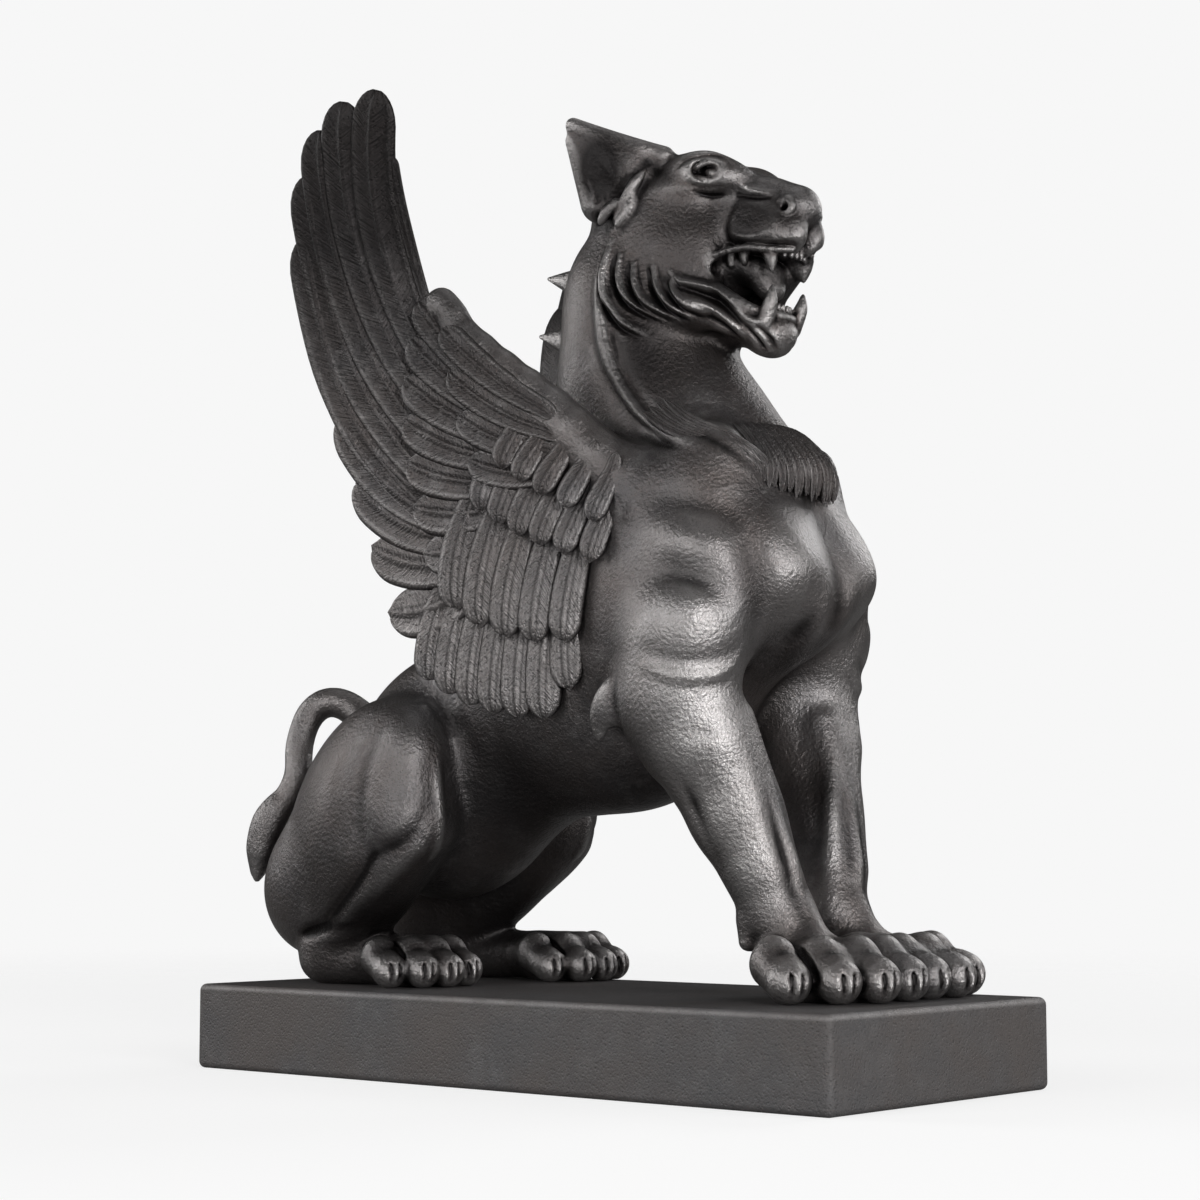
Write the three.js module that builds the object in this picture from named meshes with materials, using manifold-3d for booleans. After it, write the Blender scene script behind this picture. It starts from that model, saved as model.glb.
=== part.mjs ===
// A seated griffin of cast bronze on its plinth: a big cat with open jaws, laid-back ears,
// a mane ridge ending in a bib, raised wings and a hooked tail.
// Millimetres, +Z up. The griffin looks along +X, and the origin is the middle of the
// plinth's underside.

import * as THREE from "three";
import { mergeVertices } from "three/addons/utils/BufferGeometryUtils.js";
import Module from "manifold-3d";

// Driving dimensions, in millimetres and degrees
const PLINTH_LENGTH = 502;
const PLINTH_WIDTH = 222;
const PLINTH_HEIGHT = 54;
const PLINTH_CORNER_RADIUS = 5.5;
const PLINTH_EDGE_RADIUS = 4.5;
const GRIFFIN_HEIGHT = 554;
const GRIFFIN_TURN = 2.5;
const GRIFFIN_SIDE_SHIFT = 15;
const SEAT_GAP = 0.3;

// The griffin is drawn in parts: it is so many parts tall, from its soles to its wing tips.
const PARTS_TALL = 95.5;
const PART = GRIFFIN_HEIGHT / PARTS_TALL;

// Fineness of the carved surface: grid step in parts, and triangles kept
const GRID_STEP = 0.72;
const GRIFFIN_TRIANGLES = 9300;

// Solid shapes as distance functions: negative inside, in parts.
// Each shape has a ball around it (x, y, z, reach), so far shapes are passed over.

function solid(dist, [x, y, z], reach) {
  return { dist, x, y, z, reach };
}

// An ellipsoid. Its long axis points forward, raised by pitch and turned outward by yaw.
function egg([x0, y0, z0], [along, side, across], pitch = 0, yaw = 0, roll = 0) {
  const turn = new THREE.Euler(
    THREE.MathUtils.degToRad(roll),
    THREE.MathUtils.degToRad(-pitch),
    THREE.MathUtils.degToRad(yaw),
    "ZYX",
  );
  const [a, b, c, , d, e, f, , g, h, i] = new THREE.Matrix4().makeRotationFromEuler(turn).elements;
  const dist = (x, y, z) => {
    const dx = x - x0;
    const dy = y - y0;
    const dz = z - z0;
    const u = (a * dx + b * dy + c * dz) / along;
    const v = (d * dx + e * dy + f * dz) / side;
    const w = (g * dx + h * dy + i * dz) / across;
    return ovalDistance(u, v, w, along, side, across);
  };
  return solid(dist, [x0, y0, z0], Math.max(along, side, across));
}

// Distance to an oval, from the place as shares of its three half-sizes
function ovalDistance(u, v, w, a, b, c) {
  const share = Math.sqrt(u * u + v * v + w * w);
  const slope = Math.sqrt((u / a) ** 2 + (v / b) ** 2 + (w / c) ** 2);
  return slope < 1e-9 ? -Math.min(a, b, c) : (share * (share - 1)) / slope;
}

// A rod with round ends, from one radius to another. flat squeezes it sideways.
function bone([ax, ay, az], [bx, by, bz], ra, rb, flat = 1) {
  const [lx, ly, lz] = [bx - ax, by - ay, bz - az];
  const length = Math.hypot(lx, ly, lz);
  const [ux, uy, uz] = [lx / length, ly / length, lz / length];
  const lean = (ra - rb) / length;
  const upright = Math.sqrt(Math.max(0, 1 - lean * lean));
  const dist = (x, y, z) => {
    const dx = x - ax;
    const dz = z - az;
    const dy = y - ay;
    const s = dx * ux + dy * uy + dz * uz;
    const sideways = (dy - uy * s) / flat;
    const off = Math.sqrt((dx - ux * s) ** 2 + sideways ** 2 + (dz - uz * s) ** 2);
    const foot = s + (off * lean) / upright;
    if (foot < 0) return Math.hypot(s, off) - ra;
    if (foot > length) return Math.hypot(s - length, off) - rb;
    return off * upright - (ra - s * lean);
  };
  const reach = length / 2 + Math.max(ra, rb) * Math.max(1, flat);
  return solid(dist, [(ax + bx) / 2, (ay + by) / 2, (az + bz) / 2], reach);
}

// A chain of bones through several places, each with its own radius
function chain(places, radii, flat = 1) {
  const links = [];
  for (let i = 1; i < places.length; i++) {
    links.push(bone(places[i - 1], places[i], radii[i - 1], radii[i], flat));
  }
  return links;
}

function around(shapes) {
  const middle = [0, 0, 0];
  for (const s of shapes) {
    middle[0] += s.x / shapes.length;
    middle[1] += s.y / shapes.length;
    middle[2] += s.z / shapes.length;
  }
  const [x, y, z] = middle;
  const reaches = shapes.map((s) => Math.hypot(s.x - x, s.y - y, s.z - z) + s.reach);
  return [middle, Math.max(...reaches)];
}

// Joins shapes with a soft fillet of the given width
function melt(width, ...nested) {
  const shapes = nested.flat();
  const dist = (x, y, z) => {
    let d = Infinity;
    for (const s of shapes) {
      const away = Math.sqrt((x - s.x) ** 2 + (y - s.y) ** 2 + (z - s.z) ** 2) - s.reach;
      if (away > d + width) continue;
      const e = s.dist(x, y, z);
      const overlap = Math.max(width - Math.abs(d - e), 0);
      d = Math.min(d, e) - (overlap * overlap) / (4 * width);
    }
    return d;
  };
  return solid(dist, ...around(shapes));
}

// Takes tools out of a shape, with a soft edge of the given width
function carve(width, shape, ...nested) {
  const tools = nested.flat();
  const dist = (x, y, z) => {
    let d = shape.dist(x, y, z);
    for (const s of tools) {
      const away = Math.sqrt((x - s.x) ** 2 + (y - s.y) ** 2 + (z - s.z) ** 2) - s.reach;
      if (-away < d - width) continue;
      const e = -s.dist(x, y, z);
      const overlap = Math.max(width - Math.abs(d - e), 0);
      d = Math.max(d, e) + (overlap * overlap) / (4 * width);
    }
    return d;
  };
  return solid(dist, [shape.x, shape.y, shape.z], shape.reach);
}

const mix = (a, b, t) => a + (b - a) * t;

// A place on a curve through a start and an end, drawn towards a middle handle
function arc(start, handle, end, t) {
  const s = 1 - t;
  return start.map((value, i) => s * s * value + 2 * s * t * handle[i] + t * t * end[i]);
}

// Body: one half is drawn, at y over 0, and the other is its mirror image

function torso() {
  return melt(
    5,
    egg([7.5, 0, 43.5], [21, 11.6, 15.5], 52),
    egg([-6.5, 0, 33.6], [18, 11, 13.9], 40),
    egg([2.5, 0, 31.8], [13, 9.5, 12.6], 20),
    egg([-22.6, 0, 23.6], [15, 10.8, 13.4], 50),
    egg([16.8, 0, 42], [8, 6.4, 13], 78),
    egg([19.2, 6, 44.8], [7.2, 5.8, 8.6], 60, 10),
  );
}

function neck() {
  return melt(
    3,
    egg([4.6, 0, 67], [17, 10.2, 9.5], 95),
    egg([8.8, 0, 56.5], [12, 9.6, 10.2], 66),
    egg([4.4, 0, 75], [8.4, 8.6, 8], 90),
    egg([1, 0, 63.5], [8, 7.6, 5.7], 100),
  );
}

function shoulder() {
  return [
    egg([12.5, 8.4, 42], [14, 6, 9.5], 72, 4),
    egg([17.8, 9.8, 40], [9.6, 5.2, 6.8], 70, 4),
    egg([16, 8.2, 50], [9, 4.6, 6], 62),
    egg([17.2, 11.4, 34.6], [7.8, 5.3, 6], 80),
  ];
}

function foreleg() {
  const elbow = [16, 10.8, 29.5];
  const knee = [20.6, 7.6, 18];
  const wrist = [24.4, 5.2, 8.4];
  return melt(
    1.6,
    chain([elbow, knee, wrist, [27.5, 5.2, 4.8]], [5.9, 4.2, 3.4, 3.1], 0.95),
    bone([19.4, 10.4, 28], [24, 6.8, 13], 3.8, 3, 0.85),
    bone([11.6, 11.6, 30], [14.6, 10.6, 24.5], 3, 2.4, 0.9),
    bone([22.6, 7.4, 27], [25.6, 5.4, 12], 1.9, 1.5, 0.9),
    bone([22, 7, 7.4], [22, 7.2, 5.6], 1, 0.9),
  );
}

// A tuft of hair that hooks back from the elbow
function elbowTuft() {
  return chain([[11.6, 12.6, 31], [8.8, 13.6, 28.6], [7.2, 13.6, 26]], [2, 1.5, 0.5], 0.7);
}

// A paw of four toes in front of a pad, pointing forward and turned by an angle
function paw([x, y, z], size, spread, turn) {
  const forwardX = Math.cos(THREE.MathUtils.degToRad(turn));
  const forwardY = Math.sin(THREE.MathUtils.degToRad(turn));
  const at = (forward, across, up) => [
    x + (forward * forwardX - across * forwardY) * size,
    y + (forward * forwardY + across * forwardX) * size,
    z + up * size,
  ];
  const toes = [];
  const reach = [-0.9, 0.9, 0.9, -0.9];
  for (let i = 0; i < reach.length; i++) {
    const across = (i - 1.5) * spread;
    const root = at(-3, across * 0.6, 3.4);
    const knuckle = at(1.6 + reach[i], across * 0.95, 3.3);
    const tip = at(5 + reach[i], across * 1.05, 2);
    toes.push(melt(0.5, chain([root, knuckle, tip], [2.1, 2.05, 1.95].map((radius) => radius * size))));
  }
  const pad = egg(at(0, 0, 2.4), [5.6 * size, 1.5 * spread * size, 3.2 * size], 0, turn);
  return melt(0.6, pad, toes);
}

function thigh() {
  return [
    egg([-27.8, 10.2, 17.6], [15.5, 6.1, 10.5], 54, 10),
    egg([-22, 12, 21], [9, 4.6, 6], 62, 6),
    bone([-18.6, 12.4, 17.6], [-31.8, 10.6, 4.8], 4.3, 2.5),
    egg([-36, 8.6, 10.6], [7.6, 5.6, 7.2], 80),
  ];
}

function hindFoot([x, y], turn) {
  const heel = [-33.4, Math.sign(y) * 10.4, 2.9];
  return melt(1.2, bone(heel, [x, y, 2.7], 3, 2.6), paw([x, y, 0], 0.9, 3.3, turn));
}

function frontFoot(side, forward, turn) {
  return paw([forward, side * 5.7, 0], 1.07, 4, turn);
}

// The skin fold that runs from the flank to the knee
function flankFold() {
  const places = [[-17.8, 10.6, 31], [-14.6, 12, 25], [-13.8, 12.4, 18.5], [-16.4, 12, 12.5]];
  return chain(places, [0.5, 0.9, 0.9, 0.5]);
}

// The rope of the tail: its radius, how much thicker its root is, and the steps along it
const TAIL = { radius: 1.3, rootSwell: 0.8, rootShare: 0.2, steps: 18 };

function tail() {
  const drawn = [
    [-33, -1, 26.5],
    [-36.6, -2.4, 30.8],
    [-39.3, -4, 32.1],
    [-41.4, -5.2, 30.6],
    [-41.9, -6.4, 27],
    [-41.5, -7, 23.4],
    [-42.6, -7.6, 20.8],
    [-44.8, -8.6, 18.4],
  ];
  const path = new THREE.CatmullRomCurve3(drawn.map((place) => new THREE.Vector3(...place)));
  const places = path.getPoints(TAIL.steps).map((place) => place.toArray());
  const nearRoot = (i) => Math.max(0, 1 - i / TAIL.steps / TAIL.rootShare);
  const radii = places.map((_, i) => TAIL.radius + TAIL.rootSwell * nearRoot(i));
  const tuft = chain([drawn.at(-1), [-46.2, -9, 15.6], [-46.6, -9, 11.8]], [1.5, 1.5, 0.4]);
  return melt(0.4, chain(places, radii), tuft);
}

// Head

function skull() {
  return melt(
    2,
    egg([7.2, 0, 83], [9.2, 7.2, 7.2], -8),
    egg([14.9, 4, 86.6], [4.8, 3, 2.8], -12, -8),
    egg([9.6, 4.6, 78.5], [8, 3.8, 6.8], -40, -6),
    bone([13.5, 0, 85], [23.6, 0, 81.8], 3.4, 2.3),
    egg([19, 0, 80.6], [5.8, 4.4, 3.6], -18),
    egg([21.2, 2.5, 79.6], [3.8, 2.5, 2.7], -20, -12),
  );
}

function nose() {
  return [egg([24.2, 0, 81.4], [1.6, 2.3, 1.6], -20), bone([22, 0, 83], [24.2, 0, 81.9], 1.4, 1.2)];
}

function lowerJaw() {
  return melt(
    1.4,
    bone([5, 5, 72.6], [13.5, 4.2, 72.4], 3.8, 2.8),
    bone([13.5, 4.4, 72.2], [20.2, 1.9, 69.4], 1.9, 1.8),
    bone([12, 0, 71.4], [20.2, 0, 69.2], 2.6, 1.9),
    egg([20.4, 0, 68.6], [2.5, 2.6, 2.2], -20),
  );
}

function mouthHollow() {
  return [
    bone([15.6, 4.4, 75.8], [26, 3.4, 74.3], 0.5, 3.6),
    bone([15.4, 0, 75.2], [26, 0, 73.6], 1.6, 3),
  ];
}

function teeth() {
  const upperFang = bone([22.1, 2.9, 78.2], [22.7, 3, 74.8], 0.9, 0.28);
  const lowerFang = bone([21.6, 2.8, 69.8], [22.6, 2.9, 73.2], 0.95, 0.28);
  return [upperFang, lowerFang];
}

function tongue() {
  return egg([17.2, 0, 75], [4.6, 3.6, 2.1], -20);
}

function ear() {
  const root = [6.2, 6.2, 86.2];
  const tip = [1.9, 10.2, 92.3];
  const shell = melt(
    1,
    bone(root, tip, 4.2, 0.7, 0.55),
    bone([3.6, 7.8, 84], [1.6, 10, 90.6], 2.2, 0.8, 0.7),
    bone([10, 5, 88.4], tip, 1.4, 0.5),
  );
  const hollow = bone([5.2, 10.5, 84.8], [2.5, 11.4, 91], 2.7, 0.5, 0.6);
  return carve(0.5, shell, hollow);
}

function eye() {
  return egg([16, 4.6, 86], [1.5, 1, 1.1], -20, 30);
}

function eyeSocket() {
  return egg([16.6, 6.2, 85.8], [2.8, 1.7, 1.7], -20, 30);
}

// Locks of hair behind the jaw, sweeping down and forward
function ruff() {
  const locks = [];
  const count = 6;
  for (let i = 0; i < count; i++) {
    const t = i / (count - 1);
    const top = arc([2.6, 8.6, 80], [3, 9.4, 76], [9.5, 7.6, 75.5], t);
    const middle = arc([2.4, 9, 75], [4, 9.6, 72.5], [11.5, 7.4, 72.4], t);
    const end = arc([4.6, 8.6, 70.4], [8, 8.4, 69], [14.8, 5.8, 69.6], t);
    locks.push(...chain([top, middle, end], [0.5, 0.95, 0.4]));
  }
  return locks;
}

// The raised edge of the mane: from behind the ear down the neck, then forward to the chest
function maneRidge() {
  const places = [
    [5.2, 8.6, 80.4],
    [4.2, 9.4, 75.6],
    [5.2, 9.9, 70.8],
    [8.2, 10.1, 65.8],
    [12.2, 10, 60.2],
    [16.8, 8.8, 56.4],
    [21.4, 5.6, 53.9],
    [24.4, 2.4, 51.6],
  ];
  return chain(places, [0.6, 0.8, 0.8, 0.8, 0.8, 0.9, 0.9, 0.5]);
}

// Pointed locks that hang on the chest as a bib, the longest in the middle
function bib() {
  const locks = [];
  const count = 5;
  for (let i = 0; i < count; i++) {
    const y = 0.7 + i * 1.45;
    const back = 0.5 * i + 0.1 * i ** 2;
    const top = [23.4 - back, y, 56.5];
    const bend = [26.4 - back, y, 53.4];
    const point = [26.7 - back, y, 50.8 + 0.4 * i];
    locks.push(...chain([top, bend, point], [1.1, 1, 0.35]));
  }
  return locks;
}

// A row of thorn-like spines down the nape
function napeSpines() {
  const spines = [];
  const count = 4;
  for (let i = 0; i < count; i++) {
    const [x, z] = arc([-9.8, 79], [-12.6, 70], [-9.4, 56.6], i / (count - 1));
    spines.push(bone([x + 5.6, 0, z - 1.4], [x, 0, z], 2.1, 0.3, 0.6));
  }
  return spines;
}

// Wings: feathers lie in a leaning sheet, drawn by its forward and upward places

const WING_SHEET = { atForward: 13, atUp: 50, spread: 12.5, perBack: 0.12, perUp: 0.13 };
const WING_FLARE = { start: 70, run: 12, perUp: 0.2 };
const SHEET_SHARE = 1 / Math.hypot(1, WING_SHEET.perBack, WING_SHEET.perUp);

function sheetSpread(x, z) {
  const { atForward, atUp, spread, perBack, perUp } = WING_SHEET;
  const { start, run, perUp: flarePerUp } = WING_FLARE;
  const bent = Math.min(Math.max(z - start, 0), run);
  const flare = flarePerUp * (bent ** 2 / (2 * run) + Math.max(z - start - run, 0));
  return spread + perUp * (z - atUp) + perBack * (atForward - x) + flare;
}

// One feather: a bent, flat blade with a round end, from its root to its tip
function feather(root, tip, { width, thick, bend, lift, tilt }) {
  const length = Math.hypot(tip[0] - root[0], tip[1] - root[1]);
  const ux = (tip[0] - root[0]) / length;
  const uz = (tip[1] - root[1]) / length;
  const roundEnd = width * 1.3;
  const dist = (x, y, z) => {
    const dx = x - root[0];
    const dz = z - root[1];
    const s = dx * ux + dz * uz;
    const t = Math.min(Math.max(s / length, 0), 1);
    const q = dz * ux - dx * uz - bend * length * 4 * t * (1 - t);
    const half = width * (0.62 + 0.38 * Math.sin(Math.min(1, t * 1.4) * Math.PI * 0.5));
    const beyond = Math.max(s - length + roundEnd, 0, -s * 1.2);
    const out = (y - sheetSpread(x, z)) * SHEET_SHARE - lift - tilt * q;
    return ovalDistance(beyond / roundEnd, q / half, out / thick, roundEnd, half, thick);
  };
  const mx = (root[0] + tip[0]) / 2;
  const mz = (root[1] + tip[1]) / 2;
  return solid(dist, [mx, sheetSpread(mx, mz), mz], length / 2 + width * 1.5 + Math.abs(bend) * length);
}

// A fan of feathers, roots along a line and tips along a curve
function fan({ count, roots, tips, width, thick, bend, lift = 0, tilt = 0.12 }) {
  const feathers = [];
  for (let i = 0; i < count; i++) {
    const t = i / (count - 1);
    const root = [mix(roots[0][0], roots[1][0], t), mix(roots[0][1], roots[1][1], t)];
    feathers.push(
      feather(root, arc(...tips, t), {
        width: mix(width[0], width[1], t),
        thick,
        bend: mix(bend[0], bend[1], t),
        lift,
        tilt,
      }),
    );
  }
  return feathers;
}

function wing() {
  const primaries = fan({
    count: 5,
    roots: [[-8, 62], [-12, 50]],
    tips: [[-12.7, 95.4], [-22.6, 96.2], [-25.6, 82]],
    width: [2.8, 3],
    thick: 1.15,
    bend: [0.155, 0.13],
  });
  const secondaries = fan({
    count: 5,
    roots: [[-10, 51], [-6, 45]],
    tips: [[-24.7, 70], [-22.8, 55], [-19.6, 40.6]],
    width: [2.8, 2.9],
    thick: 1.2,
    bend: [0.13, 0.12],
  });
  const coverts = fan({
    count: 7,
    roots: [[-3, 63], [-3, 49]],
    tips: [[-11.8, 73.4], [-17, 62], [-13.6, 46.6]],
    width: [2.2, 2.6],
    thick: 2,
    bend: [0.04, 0.1],
  });
  const armCoverts = fan({
    count: 4,
    roots: [[3, 60.5], [3, 54]],
    tips: [[-8.6, 70], [-8, 63], [-6.4, 56]],
    width: [1.7, 2],
    thick: 2.5,
    bend: [0.05, 0.08],
  });
  const hanging = fan({
    count: 6,
    roots: [[-9, 47], [2, 46]],
    tips: [[-14.6, 33], [-8.6, 28.6], [-0.4, 28.6]],
    width: [1.9, 2.1],
    thick: 1.2,
    bend: [-0.08, -0.03],
    lift: 0.4,
    tilt: -0.15,
  });
  const middle = fan({
    count: 4,
    roots: [[-5, 54], [5, 50]],
    tips: [[-9.4, 40.4], [-4.6, 36], [1.4, 36]],
    width: [2.3, 2.2],
    thick: 1.3,
    bend: [-0.08, -0.03],
    lift: 1.3,
    tilt: -0.15,
  });
  const scapulars = fan({
    count: 5,
    roots: [[-1, 57.5], [9, 52]],
    tips: [[-4.6, 50.2], [-0.6, 47.2], [6.4, 45]],
    width: [1.7, 1.5],
    thick: 1.3,
    bend: [-0.06, -0.03],
    lift: 2.1,
    tilt: -0.15,
  });
  const front = feather([3, 42], [3, 31.6], { width: 1.9, thick: 1.2, bend: -0.03, lift: 0.6, tilt: -0.1 });
  return melt(0.2, primaries, secondaries, coverts, armCoverts, hanging, middle, scapulars, front);
}

// The wing's arm: a roll from the shoulder up to the wrist of the wing
function wingArm() {
  return melt(
    1.5,
    chain(
      [[12.5, 9.8, 49.5], [6.9, 12.8, 55.5], [2.1, 14.4, 60.4], [-3.3, 16, 65], [-8.2, 17.6, 69.8]],
      [4.4, 2.9, 2.5, 2.2, 1.8],
      0.8,
    ),
    chain([[-7.8, 17.6, 69.6], [-9.8, 18.2, 73.1], [-11.6, 18.4, 71.2]], [1.8, 1.3, 0.9], 0.8),
    chain([[-11.4, 18.4, 73.4], [-12.7, 19.4, 77.8], [-13.9, 20.6, 82.4]], [0.9, 0.8, 0.4], 0.8),
  );
}

function griffinHead() {
  const whole = melt(1.8, skull(), nose(), lowerJaw());
  return melt(1, carve(0.8, whole, mouthHollow(), eyeSocket()), eye(), tongue());
}

// Everything that is the same on both sides
function mirroredHalf() {
  const trunk = melt(3, torso(), neck(), shoulder(), thigh());
  const limbed = melt(2.4, melt(2, trunk, griffinHead()), foreleg(), wingArm());
  const hair = [elbowTuft(), ruff(), maneRidge(), bib(), napeSpines()].flat();
  return melt(0.5, melt(0.8, limbed, ear(), flankFold(), hair), wing(), teeth());
}

const FEET_FILLET = 1.2;

// The fold inside the left cheek, seen through the open mouth
function cheekFold() {
  return bone([22, 3.2, 76.8], [18.6, 3.4, 74.2], 1.2, 1.6);
}

// The tail, the feet and the cheek's fold, which are placed one by one
function oneSidedShapes() {
  const hind = [hindFoot([-22, -8.6], -20), hindFoot([-17.6, 12.2], -12)];
  const front = [frontFoot(-1, 30.2, -26), frontFoot(1, 30.7, -4)];
  return melt(FEET_FILLET, tail(), hind, front, cheekFold());
}

function griffinField() {
  const half = mirroredHalf();
  const rest = oneSidedShapes();
  return (x, y, z) => {
    const d = half.dist(x, Math.abs(y), z);
    const e = rest.dist(x, y, z);
    const overlap = Math.max(FEET_FILLET - Math.abs(d - e), 0);
    return Math.min(d, e) - (overlap * overlap) / (4 * FEET_FILLET);
  };
}

// The carved surface: a net over the cells of a grid that the surface passes through

const FIELD_BOX = { low: [-49.5, -27, -2.5], high: [42, 27, 100] };
const BLOCK = 6;
const FAR_SHARE = 1.7;

// Corners of a cell as steps along x, y and z, and its edges as pairs of corners
const CORNERS = [[0, 0, 0], [1, 0, 0], [0, 1, 0], [1, 1, 0], [0, 0, 1], [1, 0, 1], [0, 1, 1], [1, 1, 1]];
const CELL_EDGES = CORNERS.flatMap((a, i) => CORNERS.map((b, j) => [i, j])).filter(
  ([i, j]) => i < j && CORNERS[i].filter((value, axis) => value !== CORNERS[j][axis]).length === 1,
);

// Distances at every grid point. Blocks that lie wholly far from the surface share one value.
function sampledField(field, low, [nx, ny, nz], step) {
  const values = new Float32Array(nx * ny * nz);
  const far = FAR_SHARE * BLOCK * step * Math.sqrt(3) * 0.5;
  const half = (BLOCK * step) / 2;
  for (let k0 = 0; k0 < nz; k0 += BLOCK) {
    for (let j0 = 0; j0 < ny; j0 += BLOCK) {
      for (let i0 = 0; i0 < nx; i0 += BLOCK) {
        const middle = field(low[0] + i0 * step + half, low[1] + j0 * step + half, low[2] + k0 * step + half);
        const isFar = Math.abs(middle) > far;
        for (let k = k0; k < Math.min(k0 + BLOCK, nz); k++) {
          for (let j = j0; j < Math.min(j0 + BLOCK, ny); j++) {
            for (let i = i0; i < Math.min(i0 + BLOCK, nx); i++) {
              const d = isFar ? middle : field(low[0] + i * step, low[1] + j * step, low[2] + k * step);
              values[(k * ny + j) * nx + i] = d;
            }
          }
        }
      }
    }
  }
  return values;
}

// Cells with some corners inside and some outside
function crossedCells(values, [nx, ny, nz], offsets) {
  const cells = [];
  for (let k = 0; k < nz - 1; k++) {
    for (let j = 0; j < ny - 1; j++) {
      for (let i = 0; i < nx - 1; i++) {
        const cell = (k * ny + j) * nx + i;
        const inside = values[cell] < 0;
        for (let corner = 1; corner < 8; corner++) {
          if (values[cell + offsets[corner]] < 0 !== inside) {
            cells.push(cell);
            break;
          }
        }
      }
    }
  }
  return cells;
}

function surfaceNet(field, { low, high }, step) {
  const counts = low.map((value, i) => Math.ceil((high[i] - value) / step) + 1);
  const [nx, ny] = counts;
  const offsets = CORNERS.map(([i, j, k]) => (k * ny + j) * nx + i);
  const values = sampledField(field, low, counts, step);
  untangle(values, counts, offsets);
  const places = [];
  const vertexOf = new Map();
  const crossed = crossedCells(values, counts, offsets);
  for (const cell of crossed) {
    const index = [cell % nx, Math.floor(cell / nx) % ny, Math.floor(cell / (nx * ny))];
    vertexOf.set(cell, places.length / 3);
    places.push(...cellMiddle(values, cell, offsets).map((value, i) => low[i] + (index[i] + value) * step));
  }
  const triangles = [];
  for (const cell of crossed) {
    const outward = values[cell] < 0;
    for (let axis = 0; axis < 3; axis++) {
      const along = offsets[1 << axis];
      const next = offsets[1 << ((axis + 1) % 3)];
      const last = offsets[1 << ((axis + 2) % 3)];
      if (values[cell + along] < 0 === outward) continue;
      const ring = [cell - next - last, cell - last, cell, cell - next].map((c) => vertexOf.get(c));
      addFace(triangles, ring, outward);
    }
  }
  return { places: Float64Array.from(places), triangles };
}

function addFace(triangles, [a, b, c, d], outward) {
  if (outward) triangles.push([a, b, c], [a, c, d]);
  else triangles.push([a, c, b], [a, d, c]);
}

// The mean of the places where the surface crosses a cell's edges, in shares of the cell
function cellMiddle(values, cell, offsets) {
  const sum = [0, 0, 0];
  let crossings = 0;
  for (const [a, b] of CELL_EDGES) {
    const near = values[cell + offsets[a]];
    const away = values[cell + offsets[b]];
    if (near < 0 === away < 0) continue;
    const t = near / (near - away);
    for (let axis = 0; axis < 3; axis++) sum[axis] += mix(CORNERS[a][axis], CORNERS[b][axis], t);
    crossings++;
  }
  return sum.map((value) => value / crossings);
}

// Flips the faintest corner of each cell whose inside or outside corners fall into two
// groups, so that the net stays one clean skin everywhere.
function untangle(values, counts, offsets) {
  let changed = true;
  for (let pass = 0; changed && pass < 20; pass++) {
    changed = false;
    for (const cell of crossedCells(values, counts, offsets)) {
      const corners = offsets.map((offset) => cell + offset);
      const inside = corners.map((corner) => values[corner] < 0);
      if (!isTangled(inside)) continue;
      const fewer = inside.filter(Boolean).length <= 4;
      let faintest = -1;
      corners.forEach((corner, i) => {
        if (inside[i] !== fewer) return;
        if (faintest < 0 || Math.abs(values[corner]) < Math.abs(values[faintest])) faintest = corner;
      });
      values[faintest] = values[faintest] < 0 ? 1e-3 : -1e-3;
      changed = true;
    }
  }
}

const CELL_FACES = [0, 1, 2].flatMap((axis) =>
  [0, 1].map((side) => {
    const [a, b, c, d] = CORNERS.flatMap((corner, i) => (corner[axis] === side ? [i] : []));
    return [a, b, d, c];
  }),
);

function isTangled(inside) {
  for (const [a, b, c, d] of CELL_FACES) {
    if (inside[a] === inside[c] && inside[b] === inside[d] && inside[a] !== inside[b]) return true;
  }
  return groupsOf(inside, true) > 1 || groupsOf(inside, false) > 1;
}

function groupsOf(inside, wanted) {
  const seen = new Set();
  let groups = 0;
  for (let start = 0; start < 8; start++) {
    if (inside[start] !== wanted || seen.has(start)) continue;
    groups++;
    const open = [start];
    while (open.length) {
      const corner = open.pop();
      if (seen.has(corner)) continue;
      seen.add(corner);
      for (const [a, b] of CELL_EDGES) {
        if (a === corner && inside[b] === wanted) open.push(b);
        if (b === corner && inside[a] === wanted) open.push(a);
      }
    }
  }
  return groups;
}

// Keeps the largest of the separate skins, so that no crumb or closed hollow is left
function largestSkin({ places, triangles }) {
  const parent = Int32Array.from({ length: places.length / 3 }, (_, i) => i);
  const find = (i) => {
    while (parent[i] !== i) {
      parent[i] = parent[parent[i]];
      i = parent[i];
    }
    return i;
  };
  for (const [a, b, c] of triangles) {
    parent[find(a)] = find(b);
    parent[find(b)] = find(c);
  }
  const tally = new Map();
  for (const [a] of triangles) tally.set(find(a), (tally.get(find(a)) ?? 0) + 1);
  const largest = [...tally].sort((a, b) => b[1] - a[1])[0][0];
  return { places, triangles: triangles.filter(([a]) => find(a) === largest) };
}

// Thinning: edges are closed up in order of how little that moves the surface

const PLANE_TERMS = 10;

function planeSum(sums, v, [a, b, c, d], weight) {
  const terms = [a * a, a * b, a * c, a * d, b * b, b * c, b * d, c * c, c * d, d * d];
  terms.forEach((term, i) => {
    sums[v * PLANE_TERMS + i] += term * weight;
  });
}

function planeError(q, x, y, z) {
  return (
    q[0] * x * x + 2 * q[1] * x * y + 2 * q[2] * x * z + 2 * q[3] * x +
    q[4] * y * y + 2 * q[5] * y * z + 2 * q[6] * y +
    q[7] * z * z + 2 * q[8] * z + q[9]
  );
}

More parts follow.
